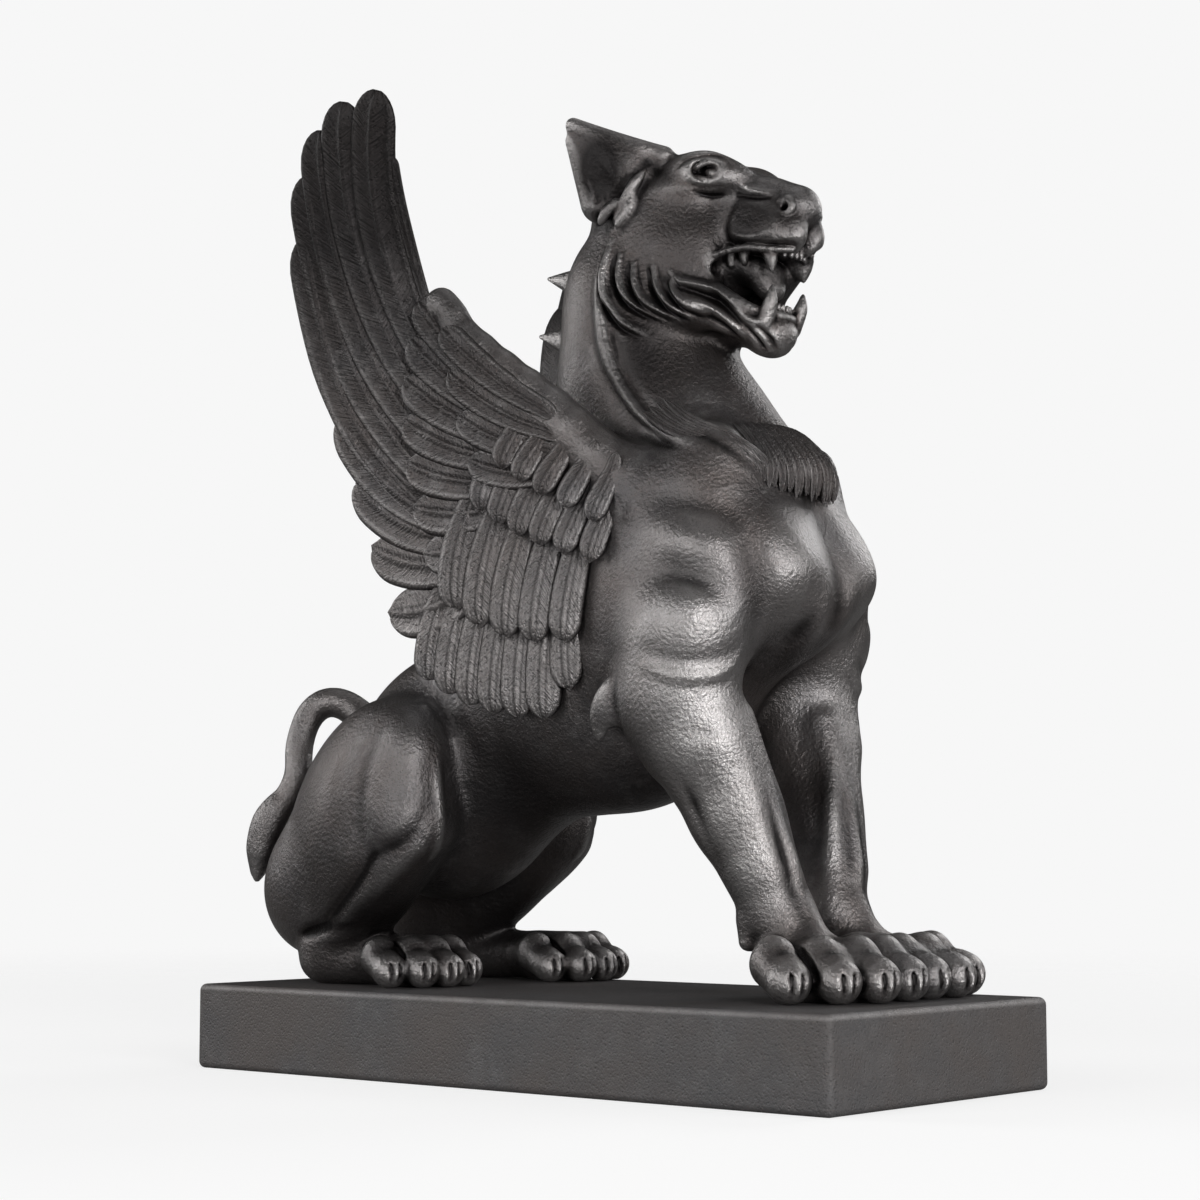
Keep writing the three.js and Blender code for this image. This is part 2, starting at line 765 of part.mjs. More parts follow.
class Heap {
  constructor() {
    this.items = [];
  }
  push(item) {
    const items = this.items;
    let i = items.length;
    items.push(item);
    while (i > 0) {
      const up = (i - 1) >> 1;
      if (items[up].cost <= item.cost) break;
      items[i] = items[up];
      i = up;
    }
    items[i] = item;
  }
  pop() {
    const items = this.items;
    const top = items[0];
    const last = items.pop();
    if (items.length === 0) return top;
    let i = 0;
    for (;;) {
      let down = 2 * i + 1;
      if (down >= items.length) break;
      if (down + 1 < items.length && items[down + 1].cost < items[down].cost) down++;
      if (items[down].cost >= last.cost) break;
      items[i] = items[down];
      i = down;
    }
    items[i] = last;
    return top;
  }
}

function faceNormal(places, a, b, c) {
  const [ax, ay, az] = [places[3 * a], places[3 * a + 1], places[3 * a + 2]];
  const [ux, uy, uz] = [places[3 * b] - ax, places[3 * b + 1] - ay, places[3 * b + 2] - az];
  const [vx, vy, vz] = [places[3 * c] - ax, places[3 * c + 1] - ay, places[3 * c + 2] - az];
  return [uy * vz - uz * vy, uz * vx - ux * vz, ux * vy - uy * vx];
}

function thinned({ places, triangles }, target, importance) {
  const count = places.length / 3;
  const sums = new Float64Array(count * PLANE_TERMS);
  const facesOf = Array.from({ length: count }, () => new Set());
  const faces = triangles.map((face) => [...face]);
  faces.forEach(([a, b, c], index) => {
    const [nx, ny, nz] = faceNormal(places, a, b, c);
    const size = Math.hypot(nx, ny, nz) || 1e-12;
    const plane = [nx / size, ny / size, nz / size];
    plane.push(-(plane[0] * places[3 * a] + plane[1] * places[3 * a + 1] + plane[2] * places[3 * a + 2]));
    const weight = size * importance(places[3 * a], places[3 * a + 1], places[3 * a + 2]);
    for (const v of [a, b, c]) {
      planeSum(sums, v, plane, weight);
      facesOf[v].add(index);
    }
  });
  const stamp = new Int32Array(count);
  const heap = new Heap();
  const neighbours = (v) => {
    const found = new Set();
    for (const f of facesOf[v]) for (const w of faces[f]) if (w !== v) found.add(w);
    return found;
  };
  const offer = (a, b) => {
    const q = new Array(PLANE_TERMS);
    for (let i = 0; i < PLANE_TERMS; i++) q[i] = sums[a * PLANE_TERMS + i] + sums[b * PLANE_TERMS + i];
    const [place, cost] = bestPlace(q, places, a, b);
    heap.push({ cost, a, b, place, stampA: stamp[a], stampB: stamp[b] });
  };
  for (const [a, b, c] of faces) {
    if (a < b) offer(a, b);
    if (b < c) offer(b, c);
    if (c < a) offer(c, a);
  }
  let left = faces.length;
  while (left > target && heap.items.length) {
    const { a, b, place, stampA, stampB } = heap.pop();
    if (stamp[a] !== stampA || stamp[b] !== stampB) continue;
    const shared = [...facesOf[a]].filter((f) => facesOf[b].has(f));
    const common = neighbours(b);
    const links = [...neighbours(a)].filter((v) => common.has(v));
    if (shared.length !== 2 || links.length !== 2) continue;
    if (turnsOver(places, faces, facesOf, a, b, place)) continue;
    if (turnsOver(places, faces, facesOf, b, a, place)) continue;
    places.set(place, 3 * a);
    for (let i = 0; i < PLANE_TERMS; i++) sums[a * PLANE_TERMS + i] += sums[b * PLANE_TERMS + i];
    for (const f of shared) {
      for (const v of faces[f]) facesOf[v].delete(f);
      faces[f] = null;
    }
    for (const f of facesOf[b]) {
      faces[f] = faces[f].map((v) => (v === b ? a : v));
      facesOf[a].add(f);
    }
    facesOf[b].clear();
    left -= 2;
    stamp[a]++;
    stamp[b] = -1;
    for (const v of neighbours(a)) offer(a, v);
  }
  return { places, triangles: faces.filter(Boolean) };
}

// The place for a closed-up edge that lies nearest to all the planes around it
function bestPlace(q, places, a, b) {
  const ends = [a, b].map((v) => [places[3 * v], places[3 * v + 1], places[3 * v + 2]]);
  const middle = ends[0].map((value, i) => (value + ends[1][i]) / 2);
  const choices = [middle, ...ends];
  const grid = new THREE.Matrix3().set(q[0], q[1], q[2], q[1], q[4], q[5], q[2], q[5], q[7]);
  const size = (q[0] + q[4] + q[7]) / 3;
  if (Math.abs(grid.determinant()) > 1e-4 * size ** 3) {
    const best = new THREE.Vector3(-q[3], -q[6], -q[8]).applyMatrix3(grid.invert());
    const edge = Math.hypot(ends[0][0] - ends[1][0], ends[0][1] - ends[1][1], ends[0][2] - ends[1][2]);
    if (Math.hypot(best.x - middle[0], best.y - middle[1], best.z - middle[2]) < 2 * edge) {
      choices.unshift(best.toArray());
    }
  }
  let found = null;
  let least = Infinity;
  for (const place of choices) {
    const error = planeError(q, ...place);
    if (error < least - 1e-12) {
      least = error;
      found = place;
    }
  }
  const edge = Math.hypot(ends[0][0] - ends[1][0], ends[0][1] - ends[1][1], ends[0][2] - ends[1][2]);
  return [found, Math.max(least, 0) + 1e-5 * edge * edge];
}

function turnsOver(places, faces, facesOf, moving, other, place) {
  const kept = [places[3 * moving], places[3 * moving + 1], places[3 * moving + 2]];
  for (const f of facesOf[moving]) {
    if (faces[f].includes(other)) continue;
    const before = faceNormal(places, ...faces[f]);
    places.set(place, 3 * moving);
    const after = faceNormal(places, ...faces[f]);
    places.set(kept, 3 * moving);
    const [m, n] = [Math.hypot(...before), Math.hypot(...after)];
    const dot = before[0] * after[0] + before[1] * after[1] + before[2] * after[2];
    if (n < 0.02 || dot < 0.25 * m * n) return true;
  }
  return false;
}

// The head and the paws keep more of their triangles than the plain flanks
const HEAD_DETAIL = { above: 66, ahead: -2, weight: 5 };
const PAW_DETAIL = { below: 7, weight: 1.5 };

function detailAt(x, y, z) {
  if (z > HEAD_DETAIL.above && x > HEAD_DETAIL.ahead) return HEAD_DETAIL.weight;
  return z < PAW_DETAIL.below ? PAW_DETAIL.weight : 1;
}

// Solids, cut and handed on as three.js geometry

const wasm = await Module();
wasm.setup();

function toSolid(places, triangles) {
  return new wasm.Manifold(
    new wasm.Mesh({
      numProp: 3,
      vertProperties: Float32Array.from(places),
      triVerts: Uint32Array.from(triangles.flat()),
    }),
  );
}

function solidFromGeometry(geometry) {
  const plain = geometry.clone();
  plain.deleteAttribute("normal");
  plain.deleteAttribute("uv");
  const merged = mergeVertices(plain, 1e-4);
  return new wasm.Manifold(
    new wasm.Mesh({
      numProp: 3,
      vertProperties: merged.attributes.position.array,
      triVerts: Uint32Array.from(merged.index.array),
    }),
  );
}

function toGeometry(manifold) {
  const { vertProperties, triVerts, numProp } = manifold.getMesh();
  const position = new Float32Array((vertProperties.length / numProp) * 3);
  for (let i = 0; i < position.length / 3; i++) {
    for (let axis = 0; axis < 3; axis++) position[3 * i + axis] = vertProperties[i * numProp + axis];
  }
  const geometry = new THREE.BufferGeometry();
  geometry.setAttribute("position", new THREE.BufferAttribute(position, 3));
  geometry.setIndex(new THREE.BufferAttribute(triVerts, 1));
  geometry.computeVertexNormals();
  return geometry;
}

// The block that levels the soles: length, width and depth in parts
const GROUND_BLOCK = [120, 80, 10];

function griffinGeometry() {
  const net = largestSkin(surfaceNet(griffinField(), FIELD_BOX, GRID_STEP));
  const { places, triangles } = thinned(net, GRIFFIN_TRIANGLES, detailAt);
  const figure = toSolid(places.map((value) => value * PART), triangles);
  const [length, width, depth] = GROUND_BLOCK.map((value) => value * PART);
  const ground = new THREE.BoxGeometry(length, width, depth).translate(0, 0, -depth / 2);
  return toGeometry(figure.subtract(solidFromGeometry(ground)));
}

function plinthGeometry() {
  const inset = PLINTH_EDGE_RADIUS;
  const x = PLINTH_LENGTH / 2 - inset;
  const y = PLINTH_WIDTH / 2 - inset;
  const r = PLINTH_CORNER_RADIUS - inset;
  const outline = new THREE.Shape();
  outline.absarc(x - r, y - r, r, 0, Math.PI / 2);
  outline.absarc(r - x, y - r, r, Math.PI / 2, Math.PI);
  outline.absarc(r - x, r - y, r, Math.PI, 1.5 * Math.PI);
  outline.absarc(x - r, r - y, r, 1.5 * Math.PI, 2 * Math.PI);
  outline.closePath();
  const geometry = new THREE.ExtrudeGeometry(outline, {
    depth: PLINTH_HEIGHT - 2 * inset,
    bevelThickness: inset,
    bevelSize: inset,
    bevelSegments: 3,
    curveSegments: 3,
  });
  geometry.translate(0, 0, inset);
  return toGeometry(solidFromGeometry(geometry));
}

const bronze = new THREE.MeshStandardMaterial({ color: 0x2b2726, roughness: 0.42, metalness: 0.85 });
const plinthBronze = new THREE.MeshStandardMaterial({ color: 0x33302f, roughness: 0.6, metalness: 0.8 });

const plinth = new THREE.Mesh(plinthGeometry(), plinthBronze);
plinth.name = "plinth";

const griffin = new THREE.Mesh(griffinGeometry(), bronze);
griffin.name = "griffin";
griffin.position.set(0, GRIFFIN_SIDE_SHIFT, PLINTH_HEIGHT + SEAT_GAP);
griffin.rotation.z = THREE.MathUtils.degToRad(GRIFFIN_TURN);

const statue = new THREE.Group();
statue.add(plinth, griffin);

export default statue;
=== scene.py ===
"""A cast bronze griffin on its plinth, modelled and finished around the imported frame.

The griffin is drawn in parts: it is PARTS_TALL parts tall, it looks along +X, and its soles
are at height 0. Body and head are nets over distance forms, as a sculptor's clay is, and the
feathers and the locks of the bib are sweeps along their own paths.
"""
import math

import bpy
import numpy as np
from bpy.props import FloatProperty, FloatVectorProperty, IntProperty, PointerProperty
from mathutils import Matrix, Vector


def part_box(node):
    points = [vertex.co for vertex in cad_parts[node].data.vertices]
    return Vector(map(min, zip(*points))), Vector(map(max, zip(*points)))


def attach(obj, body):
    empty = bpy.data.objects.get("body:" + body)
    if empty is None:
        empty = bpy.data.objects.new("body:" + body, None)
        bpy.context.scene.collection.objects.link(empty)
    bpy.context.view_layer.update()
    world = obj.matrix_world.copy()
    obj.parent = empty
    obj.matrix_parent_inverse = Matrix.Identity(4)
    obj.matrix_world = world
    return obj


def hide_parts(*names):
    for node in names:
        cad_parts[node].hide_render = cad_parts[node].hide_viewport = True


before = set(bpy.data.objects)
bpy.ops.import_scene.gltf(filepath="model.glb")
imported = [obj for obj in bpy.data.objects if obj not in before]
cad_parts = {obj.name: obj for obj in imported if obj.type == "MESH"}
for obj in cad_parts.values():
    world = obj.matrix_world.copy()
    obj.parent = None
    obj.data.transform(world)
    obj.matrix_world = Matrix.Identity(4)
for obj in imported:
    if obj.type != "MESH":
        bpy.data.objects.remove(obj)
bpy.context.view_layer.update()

bl_info = {
    "name": "Griffin statue",
    "version": (1, 0, 0),
    "blender": (4, 5, 0),
    "location": "View3D > Sidebar > Griffin",
    "description": "Makes a cast bronze griffin with raised wings, on its plinth",
    "category": "Object",
}

BODY = "root"
PARTS_TALL = 95.5
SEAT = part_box("griffin")[0].z
PLINTH_LOW, PLINTH_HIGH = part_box("plinth")
PLINTH_EDGE = 0.0045
PLINTH_EDGE_STEPS = 6

# Forms: distances, negative inside, in parts


class Points:
    """Places to be measured, with the ball that holds them."""

    def __init__(self, x, y, z):
        self.x, self.y, self.z = x, y, z
        low = np.array([x.min(), y.min(), z.min()])
        high = np.array([x.max(), y.max(), z.max()])
        self.middle = (low + high) / 2
        self.radius = float(np.linalg.norm(high - low)) / 2

    def offsets(self, place):
        return self.x - place[0], self.y - place[1], self.z - place[2]


class Form:
    """A shape as a distance, with a ball around it, so that far shapes are passed over."""

    def __init__(self, dist, middle, reach):
        self.dist = dist
        self.middle = np.asarray(middle, float)
        self.reach = float(reach)

    def is_near(self, at):
        return np.linalg.norm(self.middle - at.middle) < self.reach + at.radius


def flattened(nested):
    found = []
    for item in nested:
        found.extend([item] if isinstance(item, Form) else flattened(item))
    return found


def oval_distance(u, v, w, a, b, c):
    """Distance to an oval, from the place as shares of its three half-sizes."""
    share = np.sqrt(u * u + v * v + w * w)
    slope = np.sqrt((u / a) ** 2 + (v / b) ** 2 + (w / c) ** 2)
    return share * (share - 1) / np.maximum(slope, 1e-6)


def oval_frame(middle, sizes, pitch, yaw, roll):
    """A function that gives a place as shares of an oval's three half-sizes."""
    turn = (
        Matrix.Rotation(math.radians(yaw), 3, "Z")
        @ Matrix.Rotation(math.radians(-pitch), 3, "Y")
        @ Matrix.Rotation(math.radians(roll), 3, "X")
    )
    (a, b, c), (d, e, f), (g, h, i) = turn.transposed()
    along, side, across = sizes

    def shares(at):
        dx, dy, dz = at.offsets(middle)
        u = (a * dx + b * dy + c * dz) / along
        v = (d * dx + e * dy + f * dz) / side
        w = (g * dx + h * dy + i * dz) / across
        return u, v, w

    return shares


def egg(middle, sizes, pitch=0, yaw=0, roll=0):
    """An ellipsoid. Its long axis points forward, raised by pitch and turned outward by yaw."""
    shares = oval_frame(middle, sizes, pitch, yaw, roll)
    return Form(lambda at: oval_distance(*shares(at), *sizes), middle, max(sizes))


def bone(start, end, start_radius, end_radius, flat=1.0):
    """A rod with round ends, from one radius to another. flat squeezes it sideways."""
    start, end = np.asarray(start, float), np.asarray(end, float)
    length = float(np.linalg.norm(end - start))
    ux, uy, uz = (end - start) / length
    lean = (start_radius - end_radius) / length
    upright = math.sqrt(max(0.0, 1 - lean * lean))

    def dist(at):
        dx, dy, dz = at.offsets(start)
        s = dx * ux + dy * uy + dz * uz
        off = np.sqrt((dx - ux * s) ** 2 + ((dy - uy * s) / flat) ** 2 + (dz - uz * s) ** 2)
        foot = s - off * lean / upright
        side = off * upright - (start_radius - s * lean)
        side = np.where(foot < 0, np.hypot(s, off) - start_radius, side)
        return np.where(foot > length, np.hypot(s - length, off) - end_radius, side)

    reach = length / 2 + max(start_radius, end_radius) * max(1.0, flat)
    return Form(dist, (start + end) / 2, reach)


def chain(places, radii, flat=1.0):
    """Bones through several places, each with its own radius."""
    ends = list(zip(places, radii))
    return [bone(a, b, ra, rb, flat) for (a, ra), (b, rb) in zip(ends, ends[1:])]


def smooth_line(places, steps=4):
    """A smooth run through the places of a drawn line."""
    places = np.asarray(places, float)
    ends = np.concatenate([[2 * places[0] - places[1]], places, [2 * places[-1] - places[-2]]])
    run = []
    for a, b, c, d in zip(ends, ends[1:], ends[2:], ends[3:]):
        for t in np.arange(steps) / steps:
            square, cube = (2 * a - 5 * b + 4 * c - d) * t * t, (3 * b - a - 3 * c + d) * t**3
            run.append(0.5 * (2 * b + (c - a) * t + square + cube))
    run.append(places[-1])
    return np.array(run)


def rope(places, radii, flat=1.0, steps=4):
    """Bones along a smooth run through places, with radii that change evenly between them."""
    run = smooth_line(places, steps)
    sizes = np.interp(np.arange(len(run)) / steps, np.arange(len(places)), radii)
    return chain(run, sizes, flat)


def soft_min(d, e, width):
    overlap = np.maximum(width - np.abs(d - e), 0)
    return np.minimum(d, e) - overlap * overlap / (4 * width)


def melt(width, *nested):
    """Joins forms with a soft fillet of the given width."""
    forms = flattened(nested)
    middles = np.array([form.middle for form in forms])
    reaches = np.array([form.reach for form in forms])
    middle = middles.mean(0)
    reach = (np.linalg.norm(middles - middle, axis=1) + reaches).max()

    def dist(at):
        away = np.linalg.norm(middles - at.middle, axis=1)
        nearest = away - reaches - at.radius
        bound = float((away + reaches).min()) + at.radius
        d = None
        for form, near in zip(forms, nearest):
            if near > (bound if d is None else float(d.max())) + width:
                continue
            e = form.dist(at)
            d = e if d is None else soft_min(d, e, width)
        return d

    return Form(dist, middle, reach)


def carve(width, form, *nested):
    """Takes tools out of a form, with a soft edge of the given width."""
    tools = flattened(nested)

    def dist(at):
        d = form.dist(at)
        for tool in tools:
            near = np.linalg.norm(tool.middle - at.middle) - tool.reach - at.radius
            if near > width - float(d.min()):
                continue
            d = -soft_min(-d, tool.dist(at), width)
        return d

    return Form(dist, form.middle, form.reach)


def arc(start, handle, end, t):
    """A place on a curve from start to end, drawn towards a middle handle."""
    start, handle, end = (np.asarray(place, float) for place in (start, handle, end))
    return (1 - t) ** 2 * start + 2 * t * (1 - t) * handle + t * t * end


def mix(a, b, t):
    return a + (b - a) * t


# Surface carving: heights that are added to a form's skin

STROKE_STEPS = 3
STROKE_REACH = 2.4
STROKE_FADE = 0.8
SIDE_MIDDLE = 8.0
SIDE_REACH = 9.0
SIDE_FADE = 1.2


def stroke(rise, width, *places):
    """A ridge, or a groove where rise is under 0, along a smooth run through places."""
    run = smooth_line(places, STROKE_STEPS)
    legs = np.diff(run, axis=0)
    middle = (run.min(0) + run.max(0)) / 2
    reach = np.linalg.norm(run - middle, axis=1).max() + STROKE_REACH * width
    halves = run[:-1] + legs / 2
    leg_reach = np.linalg.norm(legs, axis=1) / 2 + STROKE_REACH * width

    def height(at):
        near = np.flatnonzero(np.linalg.norm(halves - at.middle, axis=1) < leg_reach + at.radius)
        if not len(near):
            return 0
        nearest = np.full(at.x.shape, np.inf)
        share = np.zeros(at.x.shape)
        for index in near:
            start, leg = run[index], legs[index]
            dx, dy, dz = at.offsets(start)
            t = np.clip((dx * leg[0] + dy * leg[1] + dz * leg[2]) / (leg @ leg), 0, 1)
            off = (dx - t * leg[0]) ** 2 + (dy - t * leg[1]) ** 2 + (dz - t * leg[2]) ** 2
            nearer = off < nearest
            nearest = np.where(nearer, off, nearest)
            share = np.where(nearer, index + t, share)
        fade = np.sin(np.clip(share / len(legs), 0.01, 0.99) * math.pi) ** STROKE_FADE
        return rise * fade * np.exp(-nearest / width**2)

    return Form(height, middle, reach)


def side_stroke(rise, width, side, *drawn):
    """A stroke drawn from the side by forward and upward places, on the skin further out
    than side."""
    flat = stroke(rise, width, *[(x, 0, z) for x, z in drawn])

    def height(at):
        level = Points(at.x, np.zeros_like(at.y), at.z)
        return flat.dist(level) * np.clip((at.y - side) / SIDE_FADE, 0, 1)

    middle = flat.middle + (0, SIDE_MIDDLE, 0)
    return Form(height, middle, math.hypot(flat.reach, SIDE_REACH))


def swelling(rise, middle, sizes, pitch=0, yaw=0):
    """A soft mound on the skin, or a hollow where rise is under 0."""
    shares = oval_frame(middle, sizes, pitch, yaw, 0)

    def height(at):
        u, v, w = shares(at)
        return rise * np.exp(-(u * u + v * v + w * w))

    return Form(height, middle, STROKE_REACH * max(sizes))


def carved(form, *nested):
    """A form with strokes and swellings on its skin."""
    marks = flattened(nested)

    def dist(at):
        d = form.dist(at)
        for mark in marks:
            if mark.is_near(at):
                d = d - mark.dist(at)
        return d

    return Form(dist, form.middle, form.reach)


# The animal: one half is drawn, at y over 0, and the other is its mirror image

TOE_REACH = (-0.9, 0.9, 0.9, -0.9)
TAIL_RADIUS = 1.3
SIDES_MELT = 1.2


def torso():
    return melt(
        5,
        egg((7.5, 0, 43.5), (21, 11.6, 15.5), 52),
        egg((-6.5, 0, 33.6), (18, 11, 13.9), 40),
        egg((2.5, 0, 31.8), (13, 9.5, 12.6), 20),
        egg((-22.6, 0, 23.6), (15, 10.8, 13.4), 50),
        egg((16.8, 0, 42), (8, 6.4, 13), 78),
        egg((19.2, 6, 44.8), (7.2, 5.8, 8.6), 60, 10),
    )


def neck():
    return melt(
        3,
        egg((4.6, 0, 67), (17, 10.2, 9.5), 95),
        egg((8.8, 0, 56.5), (12, 9.6, 10.2), 66),
        egg((4.4, 0, 75), (8.4, 8.6, 8), 90),
        egg((1, 0, 63.5), (8, 7.6, 5.7), 100),
    )


def shoulder():
    return [
        egg((12.5, 8.4, 42), (14, 6, 9.5), 72, 4),
        egg((17.8, 9.8, 40), (9.6, 5.2, 6.8), 70, 4),
        egg((16, 8.2, 50), (9, 4.6, 6), 62),
        egg((17.2, 11.4, 34.6), (7.8, 5.3, 6), 80),
    ]


def foreleg():
    elbow, knee, wrist = (16, 10.8, 29.5), (20.6, 7.6, 18), (24.4, 5.2, 8.4)
    return melt(
        1.6,
        chain([elbow, knee, wrist, (27.5, 5.2, 4.8)], [5.9, 4.2, 3.4, 3.1], 0.95),
        bone((19.4, 10.4, 28), (24, 6.8, 13), 3.8, 3, 0.85),
        bone((11.6, 11.6, 30), (14.6, 10.6, 24.5), 3, 2.4, 0.9),
        bone((21.4, 7.6, 28), (25.6, 5.4, 12), 1.5, 1.5, 0.9),
        bone((22, 7, 7.4), (22, 7.2, 5.6), 1, 0.9),
    )


def elbow_tuft():
    """A tuft of hair that hooks back from the elbow."""
    return rope(
        [(14, 12.4, 29.8), (10.8, 13.4, 30), (8.7, 13.7, 28.6), (7.9, 13.5, 26.2)], [3.4, 2.5, 1.4, 0.3],
        0.5,
    )


def paw(place, size, spread, turn):
    """Four toes in front of a pad, each with its claw between two slits, turned by an angle."""
    x, y, z = place
    ahead, aside = math.cos(math.radians(turn)), math.sin(math.radians(turn))

    def at(forward, across, up):
        return (
            x + (forward * ahead - across * aside) * size,
            y + (forward * aside + across * ahead) * size,
            z + up * size,
        )

    toes, marks = [], []
    for i, reach in enumerate(TOE_REACH):
        across = (i - 1.5) * spread
        root = at(-3, across * 0.6, 3.4)
        knuckle = at(1.6 + reach, across * 0.95, 3.4)
        tip = at(5 + reach, across * 1.05, 2)
        toes.append(melt(0.5, chain([root, knuckle, tip], [2.2 * size, 2.25 * size, 2.1 * size])))
        marks.append(swelling(0.45 * size, at(1.6 + reach, across, 5.4), (1.5, 1.3, 1.2), 0, turn))
        marks.append(swelling(-0.3 * size, at(3.9 + reach, across * 1.05, 4.6), (0.8, 1.6, 1.1), 0, turn))
        front = across * 1.07
        for side in (-0.52, 0.52):
            slit = [
                at(5.9 + reach, front + side, 3.3), at(7 + reach, front + side, 1.9),
                at(6.6 + reach, front + side, 0.3),
            ]
            marks.append(stroke(-0.55, 0.26, *slit))
        claw = [at(6.2 + reach, front, 3.1), at(7.1 + reach, front, 1.8), at(6.8 + reach, front, 0.5)]
        marks.append(stroke(0.3, 0.3, *claw))
    for gap in (-1, 0, 1):
        across = gap * spread
        marks.append(
            stroke(-0.5, 0.4, at(-2.6, across * 0.8, 5.6), at(2.4, across, 4.6), at(6.4, across, 1.6)),
        )
    pad = egg(at(0, 0, 2.4), (5.6 * size, 1.5 * spread * size, 3.2 * size), 0, turn)
    return melt(0.6, pad, toes), marks


def thigh():
    return [
        egg((-27.8, 10.2, 17.6), (15.5, 6.1, 10.5), 54, 10),
        egg((-22, 12, 21), (9, 4.6, 6), 62, 6),
        bone((-18.6, 12.4, 17.6), (-31.8, 10.6, 4.8), 4.3, 2.5),
        egg((-36, 8.6, 10.6), (7.6, 5.6, 7.2), 80),
    ]


def hind_foot(place, turn):
    x, y = place
    heel = (-33.4, math.copysign(10.4, y), 2.9)
    toes, marks = paw((x, y, 0), 0.9, 3.3, turn)
    return melt(1.2, bone(heel, (x, y, 2.7), 3, 2.6), toes), marks


def front_foot(side, forward, turn):
    return paw((forward, side * 5.7, 0), 1.07, 4, turn)


def tail():
    places = [
        (-33, -1, 26.5),
        (-36.6, -2.4, 30.8),
        (-39.3, -4, 32.1),
        (-41.4, -5.2, 30.6),
        (-41.9, -6.4, 27),
        (-41.5, -7, 23.4),
        (-42.6, -7.6, 20.8),
        (-44.2, -8.4, 18.8),
    ]
    radii = [TAIL_RADIUS + swell for swell in (0.8, 0.25, 0, 0, 0, -0.05, -0.1, 0)]
    tuft = rope(
        [(-43.4, -8, 20), (-44.6, -8.6, 17.8), (-45.4, -8.9, 15), (-46, -9, 11.4)], [1.2, 1.6, 1.4, 0.25],
    )
    return melt(1, rope(places, radii, 1, 3), tuft)


def body_marks():
    """Muscles, folds and hollows of the trunk and the legs."""
    return [
        stroke(
            0.35, 0.65, (15.6, 17, 33.4), (18.6, 16.4, 32.2), (21.2, 14.8, 31.9), (23.2, 12.2, 32.6),
            (24.6, 9.6, 35),
        ),
        stroke(
            -0.2, 1, (15, 16.9, 35.2), (18.8, 16.5, 34), (21.8, 14.6, 33.7), (24.2, 11.6, 34.8),
            (25.4, 9, 37),
        ),
        swelling(0.9, (20.4, 15.4, 37.8), (4.4, 4, 3.4), 20, 10),
        stroke(-0.7, 1.6, (12.6, 16, 41.6), (17.7, 15.6, 42.5), (21.4, 14.8, 41.6), (25, 12.2, 38.8)),
        swelling(0.7, (19.8, 14.8, 45.8), (5.5, 3.4, 2.4), -16, 10),
        stroke(-0.4, 1.6, (13, 14.2, 50.4), (19.6, 13.6, 49.6), (24.6, 11.2, 47)),
        stroke(
            -1.2, 1.5, (22.6, 11.6, 51.6), (25.2, 11.6, 46), (26.1, 10.9, 42), (25.8, 9.8, 38.6),
            (24.4, 8, 33.6),
        ),
        swelling(0.9, (27.2, 6.2, 42.8), (3.4, 3.4, 5), 90),
        stroke(-1.3, 1.7, (25, 0, 53), (28.4, 0, 47), (29.2, 0, 41.6), (28, 0, 36.5), (24, 0, 30)),
        stroke(
            -0.8, 1.3, (27.6, 2.8, 39.6), (25.4, 3.6, 35.8), (22.6, 3.6, 32.6), (20.8, 3.4, 28.6),
            (20.4, 3.2, 23),
        ),
        swelling(0.7, (21.4, 13.4, 25.6), (3.2, 3, 5.6), 100),
        swelling(-0.22, (21.6, 13.8, 26.4), (0.9, 1.4, 2.4), 100),
        stroke(-0.55, 1, (24.4, 10.4, 31), (25.6, 8.8, 23.4), (26.4, 8, 16.6), (27.4, 6.9, 11), (29, 6.4, 6)),
        stroke(0.3, 1, (25.6, 8, 28), (26.8, 7, 20), (27.6, 6, 12)),
        stroke(0.45, 1.2, (24.2, 5.6, 30), (24.6, 4.4, 20), (25, 3.2, 14), (26.2, 2.4, 6)),
        stroke(-0.55, 1, (25, 7.6, 30), (26, 5.9, 20), (27.2, 4.2, 10)),
        swelling(0.45, (23.6, 8.8, 12.6), (4, 2.4, 2.2), 100),
        stroke(-0.4, 1, (16.6, 13.4, 29), (18.8, 12.4, 21), (21.4, 9.4, 12)),
        swelling(1, (-17.2, 15.4, 22.8), (7.4, 2.8, 3), 80),
        stroke(
            -0.5, 1.6, (-18.4, 15.2, 32), (-20.8, 16.7, 26), (-21.9, 17.3, 21), (-21.8, 17.3, 16),
            (-21, 16.6, 12.6),
        ),
        stroke(
            -0.55, 0.8, (-19.6, 16.5, 15.4), (-22.6, 16.2, 12), (-26.6, 15.4, 8.6), (-30.4, 14.4, 6.4),
            (-35, 12.6, 5.4),
        ),
        stroke(-0.4, 1, (-22.4, 16.9, 13.6), (-18.4, 16.4, 15), (-15.8, 15.6, 16.8), (-14.4, 14, 20.4)),
        stroke(0.5, 1.2, (-14.6, 14.6, 15.6), (-20.1, 15.2, 11.6), (-27.4, 14.4, 6.6)),
        swelling(0.6, (-28, 16.2, 18.5), (8, 3, 4.4), 70),
        stroke(-0.35, 2, (-23.6, 15, 30), (-25, 16.4, 22), (-24.6, 16.4, 14)),
        stroke(
            0.45, 0.6, (-18.6, 10.8, 32), (-16, 12.6, 27), (-14.4, 13.1, 22), (-14.4, 12.8, 17),
            (-16.4, 12.4, 12),
        ),
        stroke(-0.6, 1.4, (-17.6, 9.4, 33), (-13.6, 10.6, 27), (-12, 10.6, 22), (-12.6, 10.2, 14)),
        stroke(-0.4, 0.9, (-36, 12, 5), (-31, 13.8, 6), (-25, 13.4, 6.6)),
    ]


# The head


